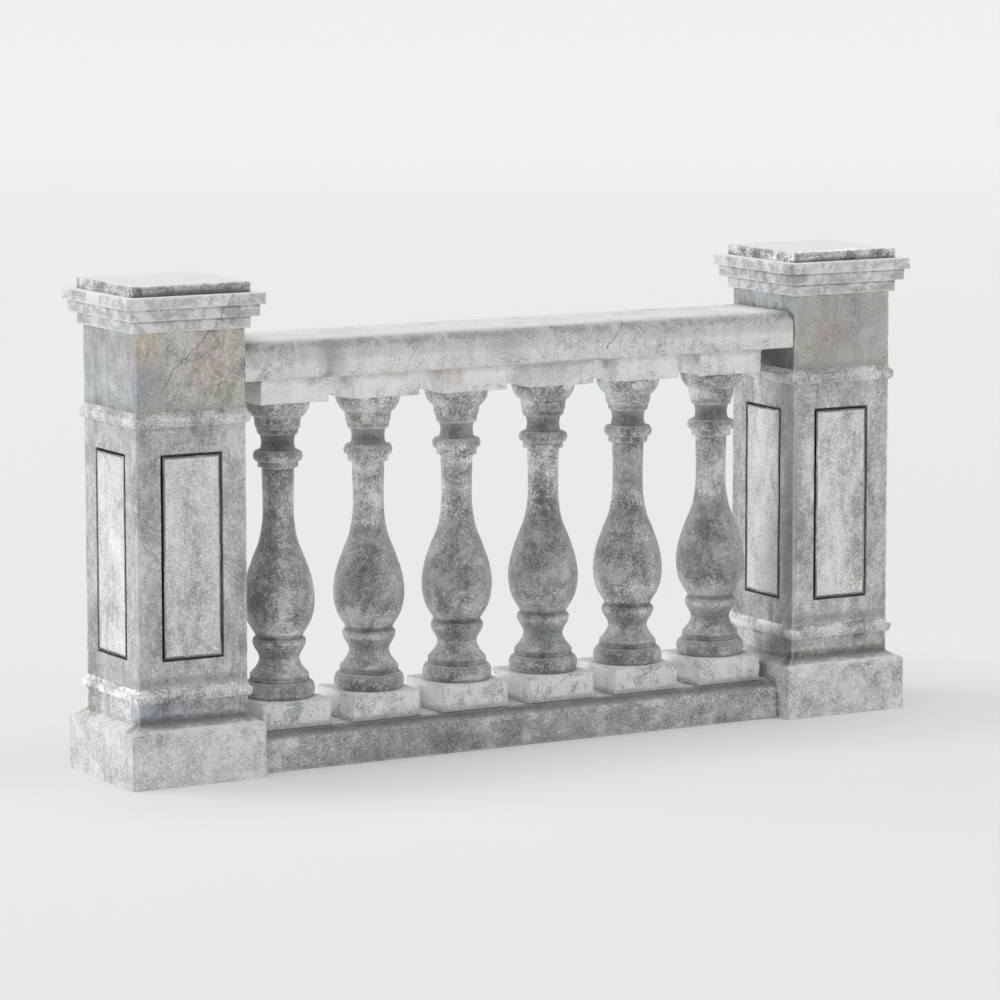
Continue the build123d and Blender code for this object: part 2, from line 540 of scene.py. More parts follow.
class SweepTree:
    """Geometry nodes that carry a section round a plan: circle, square or the end view of a rail."""

    ROUNDING = 1e-5
    READINGS = ("arris", "hollow", "bed", "block")

    def __init__(self) -> None:
        """Builds the tree."""
        inputs = {
            "Geometry": "NodeSocketGeometry",
            "Plan": "NodeSocketObject",
            "Turn": "NodeSocketVector",
            "Place": "NodeSocketVector",
            "Material": "NodeSocketMaterial",
        }
        outputs = {"Geometry": "NodeSocketGeometry"}
        graph, given, result = new_group("sweep_section_round_plan", "GeometryNodeTree", inputs, outputs)
        self.tree = graph.tree
        plan = graph.add("GeometryNodeObjectInfo", {"Object": given["Plan"]}).outputs["Geometry"]
        rings, columns = (self.count(graph, geometry) for geometry in (given["Geometry"], plan))
        closed = graph.math("ADD", columns, 1)
        grid = graph.add("GeometryNodeMeshGrid", {"Vertices X": rings, "Vertices Y": closed}).outputs["Mesh"]
        index = graph.add("GeometryNodeInputIndex").outputs[0]
        ring = self.whole(graph, "DIVIDE_FLOOR", index, closed)
        column = self.whole(graph, "MODULO", self.whole(graph, "MODULO", index, closed), columns)
        section_at = self.place(graph, given["Geometry"], ring)
        plan_at = self.place(graph, plan, column)
        across = (graph.math("MULTIPLY", plan_at[axis], section_at["X"]) for axis in "XY")
        inputs = dict(zip("XYZ", (*across, section_at["Z"])))
        position = graph.add("ShaderNodeCombineXYZ", inputs).outputs[0]
        stone = graph.add("GeometryNodeSetPosition", {"Geometry": grid, "Position": position}).outputs[0]
        for name in self.READINGS:
            up = self.reading(graph, given["Geometry"], name, ring)
            around = self.reading(graph, plan, name, column)
            inputs = {"Geometry": stone, "Name": name, "Value": graph.math("MAXIMUM", up, around)}
            stone = graph.add("GeometryNodeStoreNamedAttribute", inputs, domain="POINT").outputs[0]
        stone = graph.add("GeometryNodeFlipFaces", {"Mesh": stone}).outputs[0]
        inputs = {"Geometry": stone, "Distance": self.ROUNDING}
        stone = graph.add("GeometryNodeMergeByDistance", inputs).outputs[0]
        inputs = {"Geometry": stone, "Translation": given["Place"], "Rotation": given["Turn"]}
        stone = graph.add("GeometryNodeTransform", inputs).outputs[0]
        stone = graph.add("GeometryNodeRealizeInstances", {"Geometry": stone}).outputs[0]
        inputs = {"Geometry": stone, "Material": given["Material"]}
        graph.link(graph.add("GeometryNodeSetMaterial", inputs).outputs[0], result["Geometry"])

    @staticmethod
    def count(graph: Graph, geometry: Socket) -> Socket:
        """Adds the number of points of a geometry."""
        return graph.add("GeometryNodeAttributeDomainSize", {"Geometry": geometry}).outputs["Point Count"]

    @staticmethod
    def whole(graph: Graph, operation: str, first: Socket, second: Socket) -> Socket:
        """Adds one step of arithmetic on whole numbers."""
        return graph.add("FunctionNodeIntegerMath", {0: first, 1: second}, operation=operation).outputs[0]

    @staticmethod
    def place(graph: Graph, geometry: Socket, index: Socket) -> Any:
        """Adds the place of one point of a geometry.

        Args:
            graph: Tree under construction.
            geometry: The geometry.
            index: Number of the point.

        Returns:
            The sockets of the three coordinates, by name.
        """
        position = graph.add("GeometryNodeInputPosition").outputs[0]
        node = graph.add("GeometryNodeSampleIndex", data_type="FLOAT_VECTOR", domain="POINT")
        graph.fill(node, {"Geometry": geometry, "Value": position, "Index": index})
        return graph.add("ShaderNodeSeparateXYZ", {0: node.outputs[0]}).outputs

    @staticmethod
    def reading(graph: Graph, geometry: Socket, name: str, index: Socket) -> Socket:
        """Adds a named reading of one point of a geometry."""
        inputs = {"Geometry": geometry, "Value": graph.named(name), "Index": index}
        return graph.add("GeometryNodeSampleIndex", inputs, data_type="FLOAT", domain="POINT").outputs[0]


@dataclass(frozen=True)
class Wear:
    """How weather has worn a stone: depths in metres, scales in features to the metre."""

    unevenness: float = 0.0009
    unevenness_scale: float = 13.0
    grain: float = 0.0004
    grain_scale: float = 85.0
    chip_depth: float = 0.0016
    chip_scale: float = 34.0
    chip_start: float = 0.47


class WearTree:
    """Geometry nodes that wear a stone and measure its sheltered places."""

    RAYS = 14
    RAY_SPREAD = 0.96
    STANDOFF = 0.0035
    SHELTER_REACH = 0.075
    SMOOTH_ANGLE = math.radians(42)
    CHIP_RISE = 0.16
    GOLDEN_ANGLE = math.pi * (3 - math.sqrt(5))
    UNEVEN = Noise(2.0, 0.5)
    GRAIN = Noise(2.0, 0.6)
    CHIPS = Noise(5.0, 0.62)
    DEPTHS = ("Unevenness", "Grain", "Chip Depth")
    SCALES = ("Unevenness Scale", "Grain Scale", "Chip Scale")
    NUMBERS = (*DEPTHS, *SCALES, "Chip Start")

    def __init__(self) -> None:
        """Builds the tree."""
        outputs = {"Geometry": "NodeSocketGeometry"}
        inputs = outputs | {"Neighbours": "NodeSocketObject", "Course Axis": "NodeSocketVector"}
        inputs |= {name: "NodeSocketFloat" for name in (*self.NUMBERS, "Seed")}
        inputs |= {"Material": "NodeSocketMaterial"}
        graph, given, result = new_group("worn_stone", "GeometryNodeTree", inputs, outputs)
        self.tree = graph.tree
        normal = graph.add("GeometryNodeInputNormal").outputs[0]
        stone = self.store(graph, given["Geometry"], "facing", normal, "FLOAT_VECTOR")
        inputs = {"Geometry": stone, "Offset": self.loss(graph, given, normal)}
        stone = graph.add("GeometryNodeSetPosition", inputs).outputs[0]
        stone = self.store(graph, stone, "shelter", self.shelter(graph, given, normal), "FLOAT")
        angle = graph.add("GeometryNodeInputMeshEdgeAngle").outputs["Unsigned Angle"]
        gentle = graph.math("LESS_THAN", angle, self.SMOOTH_ANGLE)
        inputs = {"Geometry": stone, "Shade Smooth": gentle}
        stone = graph.add("GeometryNodeSetShadeSmooth", inputs, domain="EDGE").outputs[0]
        stone = graph.add("GeometryNodeRealizeInstances", {"Geometry": stone}).outputs[0]
        inputs = {"Geometry": stone, "Material": given["Material"]}
        graph.link(graph.add("GeometryNodeSetMaterial", inputs).outputs[0], result["Geometry"])

    @staticmethod
    def store(graph: Graph, geometry: Socket, name: str, value: Socket, kind: str) -> Socket:
        """Adds an attribute to the points of a geometry.

        Args:
            graph: Tree under construction.
            geometry: The geometry.
            name: Name of the attribute.
            value: Socket of its value.
            kind: Type of its data.

        Returns:
            The socket of the geometry that has it.
        """
        node = graph.add("GeometryNodeStoreNamedAttribute", data_type=kind, domain="POINT")
        graph.fill(node, {"Geometry": geometry, "Name": name, "Value": value})
        return node.outputs[0]

    def loss(self, graph: Graph, given: Any, normal: Socket) -> Socket:
        """Adds the stone lost at each point, which never moves a bed joint open.

        Args:
            graph: Tree under construction.
            given: Inputs of the tree.
            normal: Direction that the surface faces.

        Returns:
            The socket of the offset.
        """
        seed = graph.add("ShaderNodeCombineXYZ", {"X": given["Seed"]}).outputs[0]
        place = graph.vector("ADD", graph.add("GeometryNodeInputPosition").outputs[0], seed)
        uneven = graph.noise(place, given["Unevenness Scale"], self.UNEVEN)
        grain = graph.noise(place, given["Grain Scale"], self.GRAIN)
        broken = graph.noise(place, given["Chip Scale"], self.CHIPS)
        full = graph.math("ADD", given["Chip Start"], self.CHIP_RISE)
        chip = graph.smooth(broken, given["Chip Start"], full)
        chip = graph.math("MULTIPLY", chip, graph.named("arris"))
        losses = zip((uneven, grain, chip), self.DEPTHS)
        depth = graph.total(*(graph.math("MULTIPLY", loss, given[name]) for loss, name in losses))
        offset = graph.scaled(normal, graph.math("MULTIPLY", depth, -1.0))
        along = graph.vector("DOT_PRODUCT", offset, given["Course Axis"])
        held = graph.scaled(given["Course Axis"], graph.math("MULTIPLY", along, graph.named("bed")))
        return graph.vector("SUBTRACT", offset, held)

    def shelter(self, graph: Graph, given: Any, normal: Socket) -> Socket:
        """Adds the share of the open hemisphere that near stones close, with near ones counted more.

        Args:
            graph: Tree under construction.
            given: Inputs of the tree.
            normal: Direction that the surface faces.

        Returns:
            The socket of the share, from 0 to 1.
        """
        around = graph.add("GeometryNodeObjectInfo", {"Object": given["Neighbours"]}).outputs["Geometry"]
        place = graph.add("GeometryNodeInputPosition").outputs[0]
        start = graph.vector("ADD", place, graph.scaled(normal, self.STANDOFF))
        total: Any = 0.0
        for ray in range(self.RAYS):
            height = 1 - 2 * (ray + 0.5) / self.RAYS
            angle = self.GOLDEN_ANGLE * ray
            flat = math.sqrt(1 - height**2) * self.RAY_SPREAD
            spread = (flat * math.cos(angle), flat * math.sin(angle), height * self.RAY_SPREAD)
            inputs = {
                "Target Geometry": around,
                "Source Position": start,
                "Ray Direction": graph.vector("ADD", normal, spread),
                "Ray Length": self.SHELTER_REACH,
            }
            hit = graph.add("GeometryNodeRaycast", inputs).outputs
            near = graph.math("DIVIDE", hit["Hit Distance"], self.SHELTER_REACH)
            closed = graph.math("MULTIPLY", hit["Is Hit"], graph.rest(near))
            total = graph.math("ADD", total, closed)
        return graph.math("DIVIDE", total, float(self.RAYS))


class Workshop:
    """Runs the two trees on stones and hands each finished stone to the frame."""

    SEED = 0.0

    def __init__(self) -> None:
        """Builds the trees and the joined neighbours that shelter is measured against."""
        self.sweep = SweepTree()
        self.wear = WearTree()
        packed = [node.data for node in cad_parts.values()]
        self.neighbours = self.joined("neighbours", packed)

    @staticmethod
    def joined(name: str, meshes: list[bpy.types.Mesh]) -> bpy.types.Object:
        """Joins copies of some meshes into one helper object.

        Args:
            name: Name of the helper.
            meshes: The meshes.

        Returns:
            The helper, linked to the scene.
        """
        shells = bmesh.new()
        for mesh in meshes:
            shells.from_mesh(mesh)
        whole = bpy.data.meshes.new(name)
        shells.to_mesh(whole)
        shells.free()
        return placed(name, whole)

    @staticmethod
    def evaluated(
        helper: bpy.types.Object, tree: bpy.types.NodeTree, values: dict[str, Any]
    ) -> bpy.types.Mesh:
        """Runs a tree on an object and takes the result as a plain mesh.

        Args:
            helper: Object that the tree starts from.
            tree: Geometry nodes to run.
            values: Values of its inputs, by name.

        Returns:
            The new mesh.
        """
        modifier = helper.modifiers.new("stone", "NODES")
        modifier.node_group = tree
        for item in tree.interface.items_tree:
            if item.in_out == "INPUT" and item.name in values:
                modifier[item.identifier] = values[item.name]
        graph = bpy.context.evaluated_depsgraph_get()
        mesh = bpy.data.meshes.new_from_object(helper.evaluated_get(graph), depsgraph=graph)
        helper.modifiers.remove(modifier)
        return mesh

    def swept(
        self,
        section: Outline,
        plan: Outline,
        turn: Triple = (0.0, 0.0, 0.0),
        place: Triple = (0.0, 0.0, 0.0),
        scale: float = 1.0,
        block: Block = Block.NONE,
        easing: float = CARVING.easing,
    ) -> bpy.types.Mesh:
        """Carries a section round a plan.

        Args:
            section: Reaches and levels from the lower pole to the upper one.
            plan: Closed outline, anticlockwise.
            turn: Turn of the finished stone, in radians about X, Y and Z.
            place: Place of the stone's own origin.
            scale: Reach at which the plan was drawn.
            block: Whether it is a square block of a stone that is turned elsewhere.
            easing: How far its corners are worn round.

        Returns:
            The mesh of the stone, closed and with its corner readings.
        """
        rows = section.eased(False, easing).cut(closed=False)
        columns = plan.eased(True, easing).cut(closed=True)
        ends = np.isclose(rows[:, 1], rows[0, 1]) & (section.stretches[1] is Stretch.BED)
        ends |= np.isclose(rows[:, 1], rows[-1, 1]) & (section.stretches[-1] is Stretch.BED)
        none = np.zeros(len(columns))
        row_arris, row_hollow = corner_readings(rows, False, ends)
        column_arris, column_hollow = corner_readings(columns, True, none > 0)
        flat = np.zeros(len(rows))
        row_places = np.column_stack((rows[:, 0] / scale, flat, rows[:, 1]))
        plan_places = np.column_stack((columns, none))
        readings = {"arris": row_arris, "hollow": row_hollow, "bed": ends.astype(float)}
        readings["block"] = flat + block.value
        rows_helper = line_object("section", row_places, readings)
        readings = {"arris": column_arris, "hollow": column_hollow, "bed": none, "block": none}
        plan_helper = line_object("plan", plan_places, readings)
        values = {"Plan": plan_helper, "Turn": turn, "Place": place}
        mesh = self.evaluated(rows_helper, self.sweep.tree, values)
        drop(rows_helper)
        drop(plan_helper)
        return mesh

    def finished(
        self,
        node: str,
        meshes: list[bpy.types.Mesh],
        wear: Wear,
        finish: "StoneFinish",
        axis: Triple = (0, 0, 1),
    ) -> None:
        """Wears a stone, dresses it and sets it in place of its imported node.

        Args:
            node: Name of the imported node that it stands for.
            meshes: Closed shells that make up the stone.
            wear: How it is worn.
            finish: Its finish.
            axis: Direction in which it is bedded.
        """
        helper = self.joined("raw_stone", meshes)
        for mesh in meshes:
            bpy.data.meshes.remove(mesh)
        values = {name: getattr(wear, name.lower().replace(" ", "_")) for name in WearTree.NUMBERS}
        values |= {"Neighbours": self.neighbours, "Course Axis": axis, "Seed": self.SEED}
        values["Material"] = finish.material()
        worn = self.evaluated(helper, self.wear.tree, values)
        drop(helper)
        piece = placed(f"worn_{node}", worn)
        worn.name = piece.name
        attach(piece, BODY)
        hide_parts(node)
        LOG.info("%s: %d faces, finish %s", piece.name, len(worn.polygons), finish.kind.value)

    def close(self) -> None:
        """Removes the helper that shelter was measured against."""
        drop(self.neighbours)


def square_plan(half_width: float, extra: tuple[float, ...] = ()) -> Outline:
    """Square round the axis, drawn at its full reach.

    Args:
        half_width: Half of its side.
        extra: Places along a side, from its middle, where it must be cut.

    Returns:
        The closed outline, anticlockwise from the front left corner.
    """
    plan = Outline([], [])
    stops = [*sorted(extra), half_width]
    for face in Face:
        turn = Quaternion((0, 0, 1), face.value * math.pi / 2)
        for stop in stops:
            place = turn @ Vector((stop, -half_width, 0))
            plan.to(place.x, place.y)
    return plan


def round_plan(columns: int) -> Outline:
    """Circle of unit radius round the axis.

    Args:
        columns: Number of its points.

    Returns:
        The closed outline, anticlockwise.
    """
    plan = Outline([], [])
    for column in range(columns):
        angle = 2 * math.pi * column / columns
        plan.add((math.cos(angle), math.sin(angle)), Stretch.CURVE)
    return plan


PATTERN_SOCKETS = ("Clouds", "Patches", "Speckle", "Flecks", "Pits", "Veins")
PATTERN_SCALES = ("Cloud", "Patch", "Speckle")
TONE_SHARES = ("Cloud", "Patch", "Speckle", "Fleck", "Pit", "Vein", "Tint")


class StoneGroups:
    """Shader node groups that all the stone finishes share.

    A range is the stretch of a reading over which a mask rises from 0 to 1, and a gain is how far a
    reading shifts another one.
    """

    FLOAT = "NodeSocketFloat"
    VECTOR = "NodeSocketVector"
    COLOUR = "NodeSocketColor"
    WHOLE = (1.0, 1.0, 1.0)

    CLOUDS = Noise(5.0, 0.60, 0.6)
    CLOUD_RANGE = (0.32, 0.68)
    PATCHES = Noise(10.0, 0.80, 0.25)
    PATCH_RANGE = (0.34, 0.66)
    GRAIN = Noise(2.0, 0.7, shift=(3.1, 1.7, 5.3))
    FINE_GRAIN = Noise(1.0, 0.5, shift=(1.3, 8.7, 2.3))
    FINE_GRAIN_SCALE = 2.0
    SPECKLE_RANGE = (0.33, 0.67)
    FLECK_RANGE = (0.53, 0.70)
    PITS = Noise(2.0, 0.6, shift=(5.9, 2.1, 9.7))
    PIT_RANGE = (0.28, 0.43)
    PATCH_GAIN = 1.1
    VEINS = Noise(5.0, 0.6, 1.1, shift=(7.7, 4.1, 2.9))
    VEIN_SCALE = 10.0
    TINT = Noise(3.0, 0.5, shift=(4.7, 6.1, 1.9))

    MARKS = (("Flecks", "Fleck", "Pale"), ("Pits", "Pit", "Dark"), ("Veins", "Vein", "Vein"))
    SPECKLE_ON_DARK = 1.6
    SPECKLE_LOST_ON_PALE = 1.2

    LEVEL_RANGE = (0.8, 0.97)
    NOSE_GAIN = 4.0
    NOSE_PATCH_GAIN = -1.5
    PALEST = (1.0, 1.0, 0.99)
    SOILED_PALEST = (0.86, 0.87, 0.86)
    SOILED_DARKEST = (0.40, 0.41, 0.41)
    BARE = (0.0, 0.0, 0.0)

    WORN_LEAST = 0.35
    WORN_PATCH_GAIN = 0.75
    WORN_RANGE = (0.18, 0.85)
    HOLLOW_GAIN = 0.40
    DIRT_AND_SHADE_PATCH_GAIN = -0.30
    DIRT_AND_SHADE_SPECKLE_GAIN = -0.22
    DIRT_AND_SHADE_RISE = 0.62

    SPOT_PATCH_GAIN = 0.9
    SPOT_SPECKLE_GAIN = 0.7
    SPOT_EDGE_RANGE = (0.0, 0.35)
    SPOT_RANGE = (0.02, 0.72)

    CRACK_WANDER = Noise(4.0, 0.6)
    CRACK_WANDER_SCALE = 26.0
    CRACK_WANDER_REACH = (0.028, 0.0, 0.028)
    CRACK_PLANE = (1.0, 0.02, 1.0)
    CRACK_RANGE = (0.35, 1.0)

    STREAKS = Noise(4.0, 0.66)
    STREAK_STRETCH = (1.0, 1.0, 0.10)
    STREAK_PATCH_GAIN = -0.18
    STREAK_RANGE = (0.44, 0.66)
    SLOPE_RANGE = (0.3, 0.8)

    def __init__(self) -> None:
        """Builds the groups."""
        self.pattern = self.build_pattern()
        self.tone = self.build_tone()
        self.exposure = self.build_exposure_and_painted_light()
        self.weather = self.build_weather()
        self.stain_or_painted_light = self.build_stain_or_painted_light()
        self.crack = self.build_crack()
        self.streaks = self.build_streaks()

    @staticmethod
    def start(name: str, inputs: Sockets, outputs: Sockets) -> tuple[Graph, Any, Any]:
        """Starts one shader group."""
        return new_group(name, "ShaderNodeTree", inputs, outputs)

    def build_pattern(self) -> bpy.types.NodeTree:
        """Builds the natural pattern of the stone: clouds, broken patches, speckle, flecks, pits and veins.

        Returns:
            The group.
        """
        inputs = {"Position": self.VECTOR, "Stretch": self.VECTOR}
        inputs |= {f"{name} Scale": self.FLOAT for name in PATTERN_SCALES}
        inputs |= {"Vein Width": self.FLOAT}
        outputs = {name: self.FLOAT for name in PATTERN_SOCKETS} | {"Tint": self.COLOUR}
        graph, given, result = self.start("stone_pattern", inputs, outputs)
        place = given["Position"]
        drawn = graph.vector("MULTIPLY", place, given["Stretch"])
        clouds = graph.noise(drawn, given["Cloud Scale"], self.CLOUDS)
        patches = graph.noise(drawn, given["Patch Scale"], self.PATCHES)
        grain = graph.noise(place, given["Speckle Scale"], self.GRAIN)
        finer = graph.math("MULTIPLY", given["Speckle Scale"], self.FINE_GRAIN_SCALE)
        finer = graph.noise(place, finer, self.FINE_GRAIN)
        speckle = graph.math("MULTIPLY", graph.math("ADD", grain, finer), graph.MIDDLE)
        pits = graph.noise(place, given["Speckle Scale"], self.PITS)
        loose = graph.swing(patches, self.PATCH_GAIN)
        veins = graph.noise(place, self.VEIN_SCALE, self.VEINS)
        beside = graph.math("ABSOLUTE", graph.math("SUBTRACT", veins, graph.MIDDLE))
        links = {
            "Clouds": graph.smooth(clouds, *self.CLOUD_RANGE),
            "Patches": graph.smooth(patches, *self.PATCH_RANGE),
            "Speckle": graph.smooth(speckle, *self.SPECKLE_RANGE),
            "Flecks": graph.smooth(graph.math("ADD", grain, loose), *self.FLECK_RANGE),
            "Pits": graph.rest(graph.smooth(graph.math("ADD", pits, loose), *self.PIT_RANGE)),
            "Veins": graph.rest(graph.smooth(beside, 0.0, given["Vein Width"])),
            "Tint": graph.noise(place, given["Cloud Scale"], self.TINT, "Color"),
        }
        for name, socket in links.items():
            graph.link(socket, result[name])
        return graph.tree

    def build_tone(self) -> bpy.types.NodeTree:
        """Builds the mix of a stone's own colours by its pattern.

        Returns:
            The group.
        """
        inputs = {name: self.COLOUR for name in ("Dark", "Body", "Pale", "Vein", "Tint")}
        inputs |= {name: self.FLOAT for name in PATTERN_SOCKETS}
        inputs |= {f"{name} Share": self.FLOAT for name in TONE_SHARES}
        graph, given, result = self.start("stone_tone", inputs, {"Color": self.COLOUR})
        clouded = graph.swing(given["Clouds"], given["Cloud Share"])
        patched = graph.swing(given["Patches"], given["Patch Share"])
        level = graph.total(clouded, patched, graph.MIDDLE)
        colour = graph.mix(graph.smooth(level, 0.0, graph.MIDDLE), given["Dark"], given["Body"])
        colour = graph.mix(graph.smooth(level, graph.MIDDLE, 1.0), colour, given["Pale"])
        for mask, share, target in self.MARKS:
            amount = graph.math("MULTIPLY", given[mask], given[f"{share} Share"])
            colour = graph.mix(amount, colour, given[target])
        lost = graph.math("MULTIPLY", given["Patches"], self.SPECKLE_LOST_ON_PALE)
        speckle = graph.swing(given["Speckle"], given["Speckle Share"])
        speckle = graph.math("MULTIPLY", speckle, graph.math("SUBTRACT", self.SPECKLE_ON_DARK, lost))
        colour = graph.scaled(colour, graph.math("ADD", speckle, 1.0))
        tint = graph.vector("SUBTRACT", given["Tint"], (graph.MIDDLE,) * 3)
        tint = graph.vector("ADD", graph.scaled(tint, given["Tint Share"]), self.WHOLE)
        graph.link(graph.vector("MULTIPLY", colour, tint), result["Color"])
        return graph.tree

    def build_exposure_and_painted_light(self) -> bpy.types.NodeTree:
        """Builds the change of tone with the way a face looks: washed tops, rounded noses, square blocks,
        and painted light and shade that make side faces and tops lighter or darker than the front.

        Returns:
            The group.
        """
        names = ("Color", "Top", "Side", "Nose", "Block", "Block Side", "Clean")
        inputs = {name: self.COLOUR for name in names}
        inputs |= {name: self.FLOAT for name in ("Patches", "Washed", "Block Clean")}
        graph, given, result = self.start("stone_exposure", inputs, {"Color": self.COLOUR})
        facing = graph.attribute("facing", "Vector")
        parts = graph.add("ShaderNodeSeparateXYZ", {0: graph.vector("MULTIPLY", facing, facing)}).outputs
        # Painted light and shade: the Side and Top gains make faces that look sideways or up lighter or
        # darker than the front.
        gain = graph.scaled(self.WHOLE, parts["Y"])
        for name, axis in (("Side", "X"), ("Top", "Z")):
            gain = graph.vector("ADD", gain, graph.scaled(given[name], parts[axis]))
        colour = graph.vector("MULTIPLY", given["Color"], gain)
        washed = graph.math("MULTIPLY", graph.smooth(parts["Z"], *self.LEVEL_RANGE), given["Washed"])
        colour = graph.mix(washed, colour, given["Clean"])
        nose = graph.math("MULTIPLY", parts["Y"], parts["Z"])
        nose = graph.math("MULTIPLY", nose, self.NOSE_GAIN, clamp=True)
        ragged = graph.math("ADD", graph.swing(given["Patches"], self.NOSE_PATCH_GAIN), 1.0)
        nose = graph.math("MULTIPLY", nose, ragged, clamp=True)
        colour = graph.mix(nose, colour, graph.vector("MULTIPLY", colour, given["Nose"]))
        block = graph.attribute("block")
        clean = graph.smooth(block, Block.SOILED.value, Block.CLEAN.value)
        bleached = graph.vector("MULTIPLY", colour, given["Block"])
        bleached = graph.vector("MINIMUM", bleached, graph.mix(clean, self.SOILED_PALEST, self.PALEST))
        bleached = graph.vector("MAXIMUM", bleached, graph.mix(clean, self.SOILED_DARKEST, self.BARE))
        # Painted light: the abacus is mixed towards the clean colour, paler than the die, against the shade
        # of the top rail.
        cleaned = graph.math("MULTIPLY", clean, given["Block Clean"])
        cleaned = graph.mix(cleaned, bleached, given["Clean"])
        # Painted light: the side faces of the blocks are made paler.
        cleaned = graph.mix(parts["X"], cleaned, graph.vector("MULTIPLY", cleaned, given["Block Side"]))
        square = graph.smooth(block, Block.NONE.value, Block.SOILED.value)
        graph.link(graph.mix(square, colour, cleaned), result["Color"])
        return graph.tree

    def build_weather(self) -> bpy.types.NodeTree:
        """Builds the weathering: pale worn arrises, and grime in hollows and sheltered places, which also
        paints the shade that falls there.

        Returns:
            The group.
        """
        inputs = {name: self.COLOUR for name in ("Color", "Worn", "Dirt")}
        numbers = ("Patches", "Speckle", "Wear Share", "Dirt Share", "Dirt Start")
        inputs |= {name: self.FLOAT for name in numbers}
        graph, given, result = self.start("stone_weather", inputs, {"Color": self.COLOUR})
        ragged = graph.math("MULTIPLY", given["Patches"], self.WORN_PATCH_GAIN)
        ragged = graph.math("ADD", ragged, self.WORN_LEAST)
        worn = graph.math("MULTIPLY", graph.attribute("arris"), ragged)
        worn = graph.math("MULTIPLY", graph.smooth(worn, *self.WORN_RANGE), given["Wear Share"])
        colour = graph.mix(worn, given["Color"], given["Worn"])
        # Grime and painted shade: places that near stones close in, and hollows, are darkened.
        dirt_and_shade_reading = graph.total(
            graph.attribute("shelter"),
            graph.math("MULTIPLY", graph.attribute("hollow"), self.HOLLOW_GAIN),
            graph.swing(given["Patches"], self.DIRT_AND_SHADE_PATCH_GAIN),
            graph.swing(given["Speckle"], self.DIRT_AND_SHADE_SPECKLE_GAIN),
        )
        full = graph.math("ADD", given["Dirt Start"], self.DIRT_AND_SHADE_RISE)
        dirt = graph.smooth(dirt_and_shade_reading, given["Dirt Start"], full)
        dirt = graph.math("MULTIPLY", dirt, given["Dirt Share"], clamp=True)
        graph.link(graph.mix(dirt, colour, given["Dirt"]), result["Color"])
        return graph.tree

    def build_stain_or_painted_light(self) -> bpy.types.NodeTree:
        """Builds one patch at a place, with ragged edges, for discolouring and for painted light and shade.

        Returns:
            The group.
        """
        inputs = {name: self.VECTOR for name in ("Position", "Centre", "Extent")}
        inputs |= {name: self.FLOAT for name in ("Patches", "Speckle")}
        graph, given, result = self.start("local_stain", inputs, {"Mask": self.FLOAT})
        away = graph.vector("SUBTRACT", given["Position"], given["Centre"])
        away = graph.vector("LENGTH", graph.vector("DIVIDE", away, given["Extent"]))
        inside = graph.math("SUBTRACT", 1.0, away, clamp=True)
        ragged = graph.swing(given["Patches"], self.SPOT_PATCH_GAIN)
        ragged = graph.math("ADD", ragged, graph.swing(given["Speckle"], self.SPOT_SPECKLE_GAIN))
        ragged = graph.math("MULTIPLY", ragged, graph.smooth(inside, *self.SPOT_EDGE_RANGE))
        mask = graph.smooth(graph.math("ADD", inside, ragged), *self.SPOT_RANGE)
        graph.link(mask, result["Mask"])
        return graph.tree

    def build_crack(self) -> bpy.types.NodeTree:
        """Builds one hairline crack between two places.

        Returns:
            The group.
        """
        inputs = {name: self.VECTOR for name in ("Position", "Start", "End")} | {"Width": self.FLOAT}
        graph, given, result = self.start("hairline_crack", inputs, {"Mask": self.FLOAT})
        wander = graph.noise(given["Position"], self.CRACK_WANDER_SCALE, self.CRACK_WANDER, "Color")
        wander = graph.vector("SUBTRACT", wander, (graph.MIDDLE,) * 3)
        wander = graph.vector("MULTIPLY", wander, self.CRACK_WANDER_REACH)
        place = graph.vector("ADD", given["Position"], wander)
        run, gone = (
            graph.vector("MULTIPLY", graph.vector("SUBTRACT", to, given["Start"]), self.CRACK_PLANE)
            for to in (given["End"], place)
        )
        along, whole = (graph.vector("DOT_PRODUCT", line, run) for line in (gone, run))
        share = graph.math("DIVIDE", along, whole, clamp=True)
        away = graph.vector("LENGTH", graph.vector("SUBTRACT", gone, graph.scaled(run, share)))
        near = graph.math("DIVIDE", away, given["Width"])
        graph.link(graph.rest(graph.smooth(near, *self.CRACK_RANGE)), result["Mask"])
        return graph.tree

    def build_streaks(self) -> bpy.types.NodeTree:
        """Builds the streaks that rain leaves on upright faces.

        Returns:
            The group.
        """
        inputs = {"Position": self.VECTOR, "Scale": self.FLOAT, "Patches": self.FLOAT}
        graph, given, result = self.start("rain_streaks", inputs, {"Mask": self.FLOAT})
        drawn = graph.vector("MULTIPLY", given["Position"], self.STREAK_STRETCH)
        streaks = graph.noise(drawn, given["Scale"], self.STREAKS)
        streaks = graph.math("ADD", streaks, graph.swing(given["Patches"], self.STREAK_PATCH_GAIN))
        facing = graph.add("ShaderNodeSeparateXYZ", {0: graph.attribute("facing", "Vector")}).outputs
        upright = graph.rest(graph.smooth(graph.math("ABSOLUTE", facing["Z"]), *self.SLOPE_RANGE))
        mask = graph.math("MULTIPLY", graph.smooth(streaks, *self.STREAK_RANGE), upright)
        graph.link(mask, result["Mask"])
        return graph.tree


@dataclass(frozen=True)
class StainOrPaintedLight:
    """A patch at a place on the bay, by whose tint the stone's own colour is multiplied: discolouring, and
    at some places painted light and shade.
    """

    centre: Triple
    extent: Triple
    tint: Colour
    strength: float = 0.9


@dataclass(frozen=True)
class Crack:
    """A hairline crack between two places on the bay."""

    start: Triple
    end: Triple
    width: float = 0.0019
    strength: float = 0.55


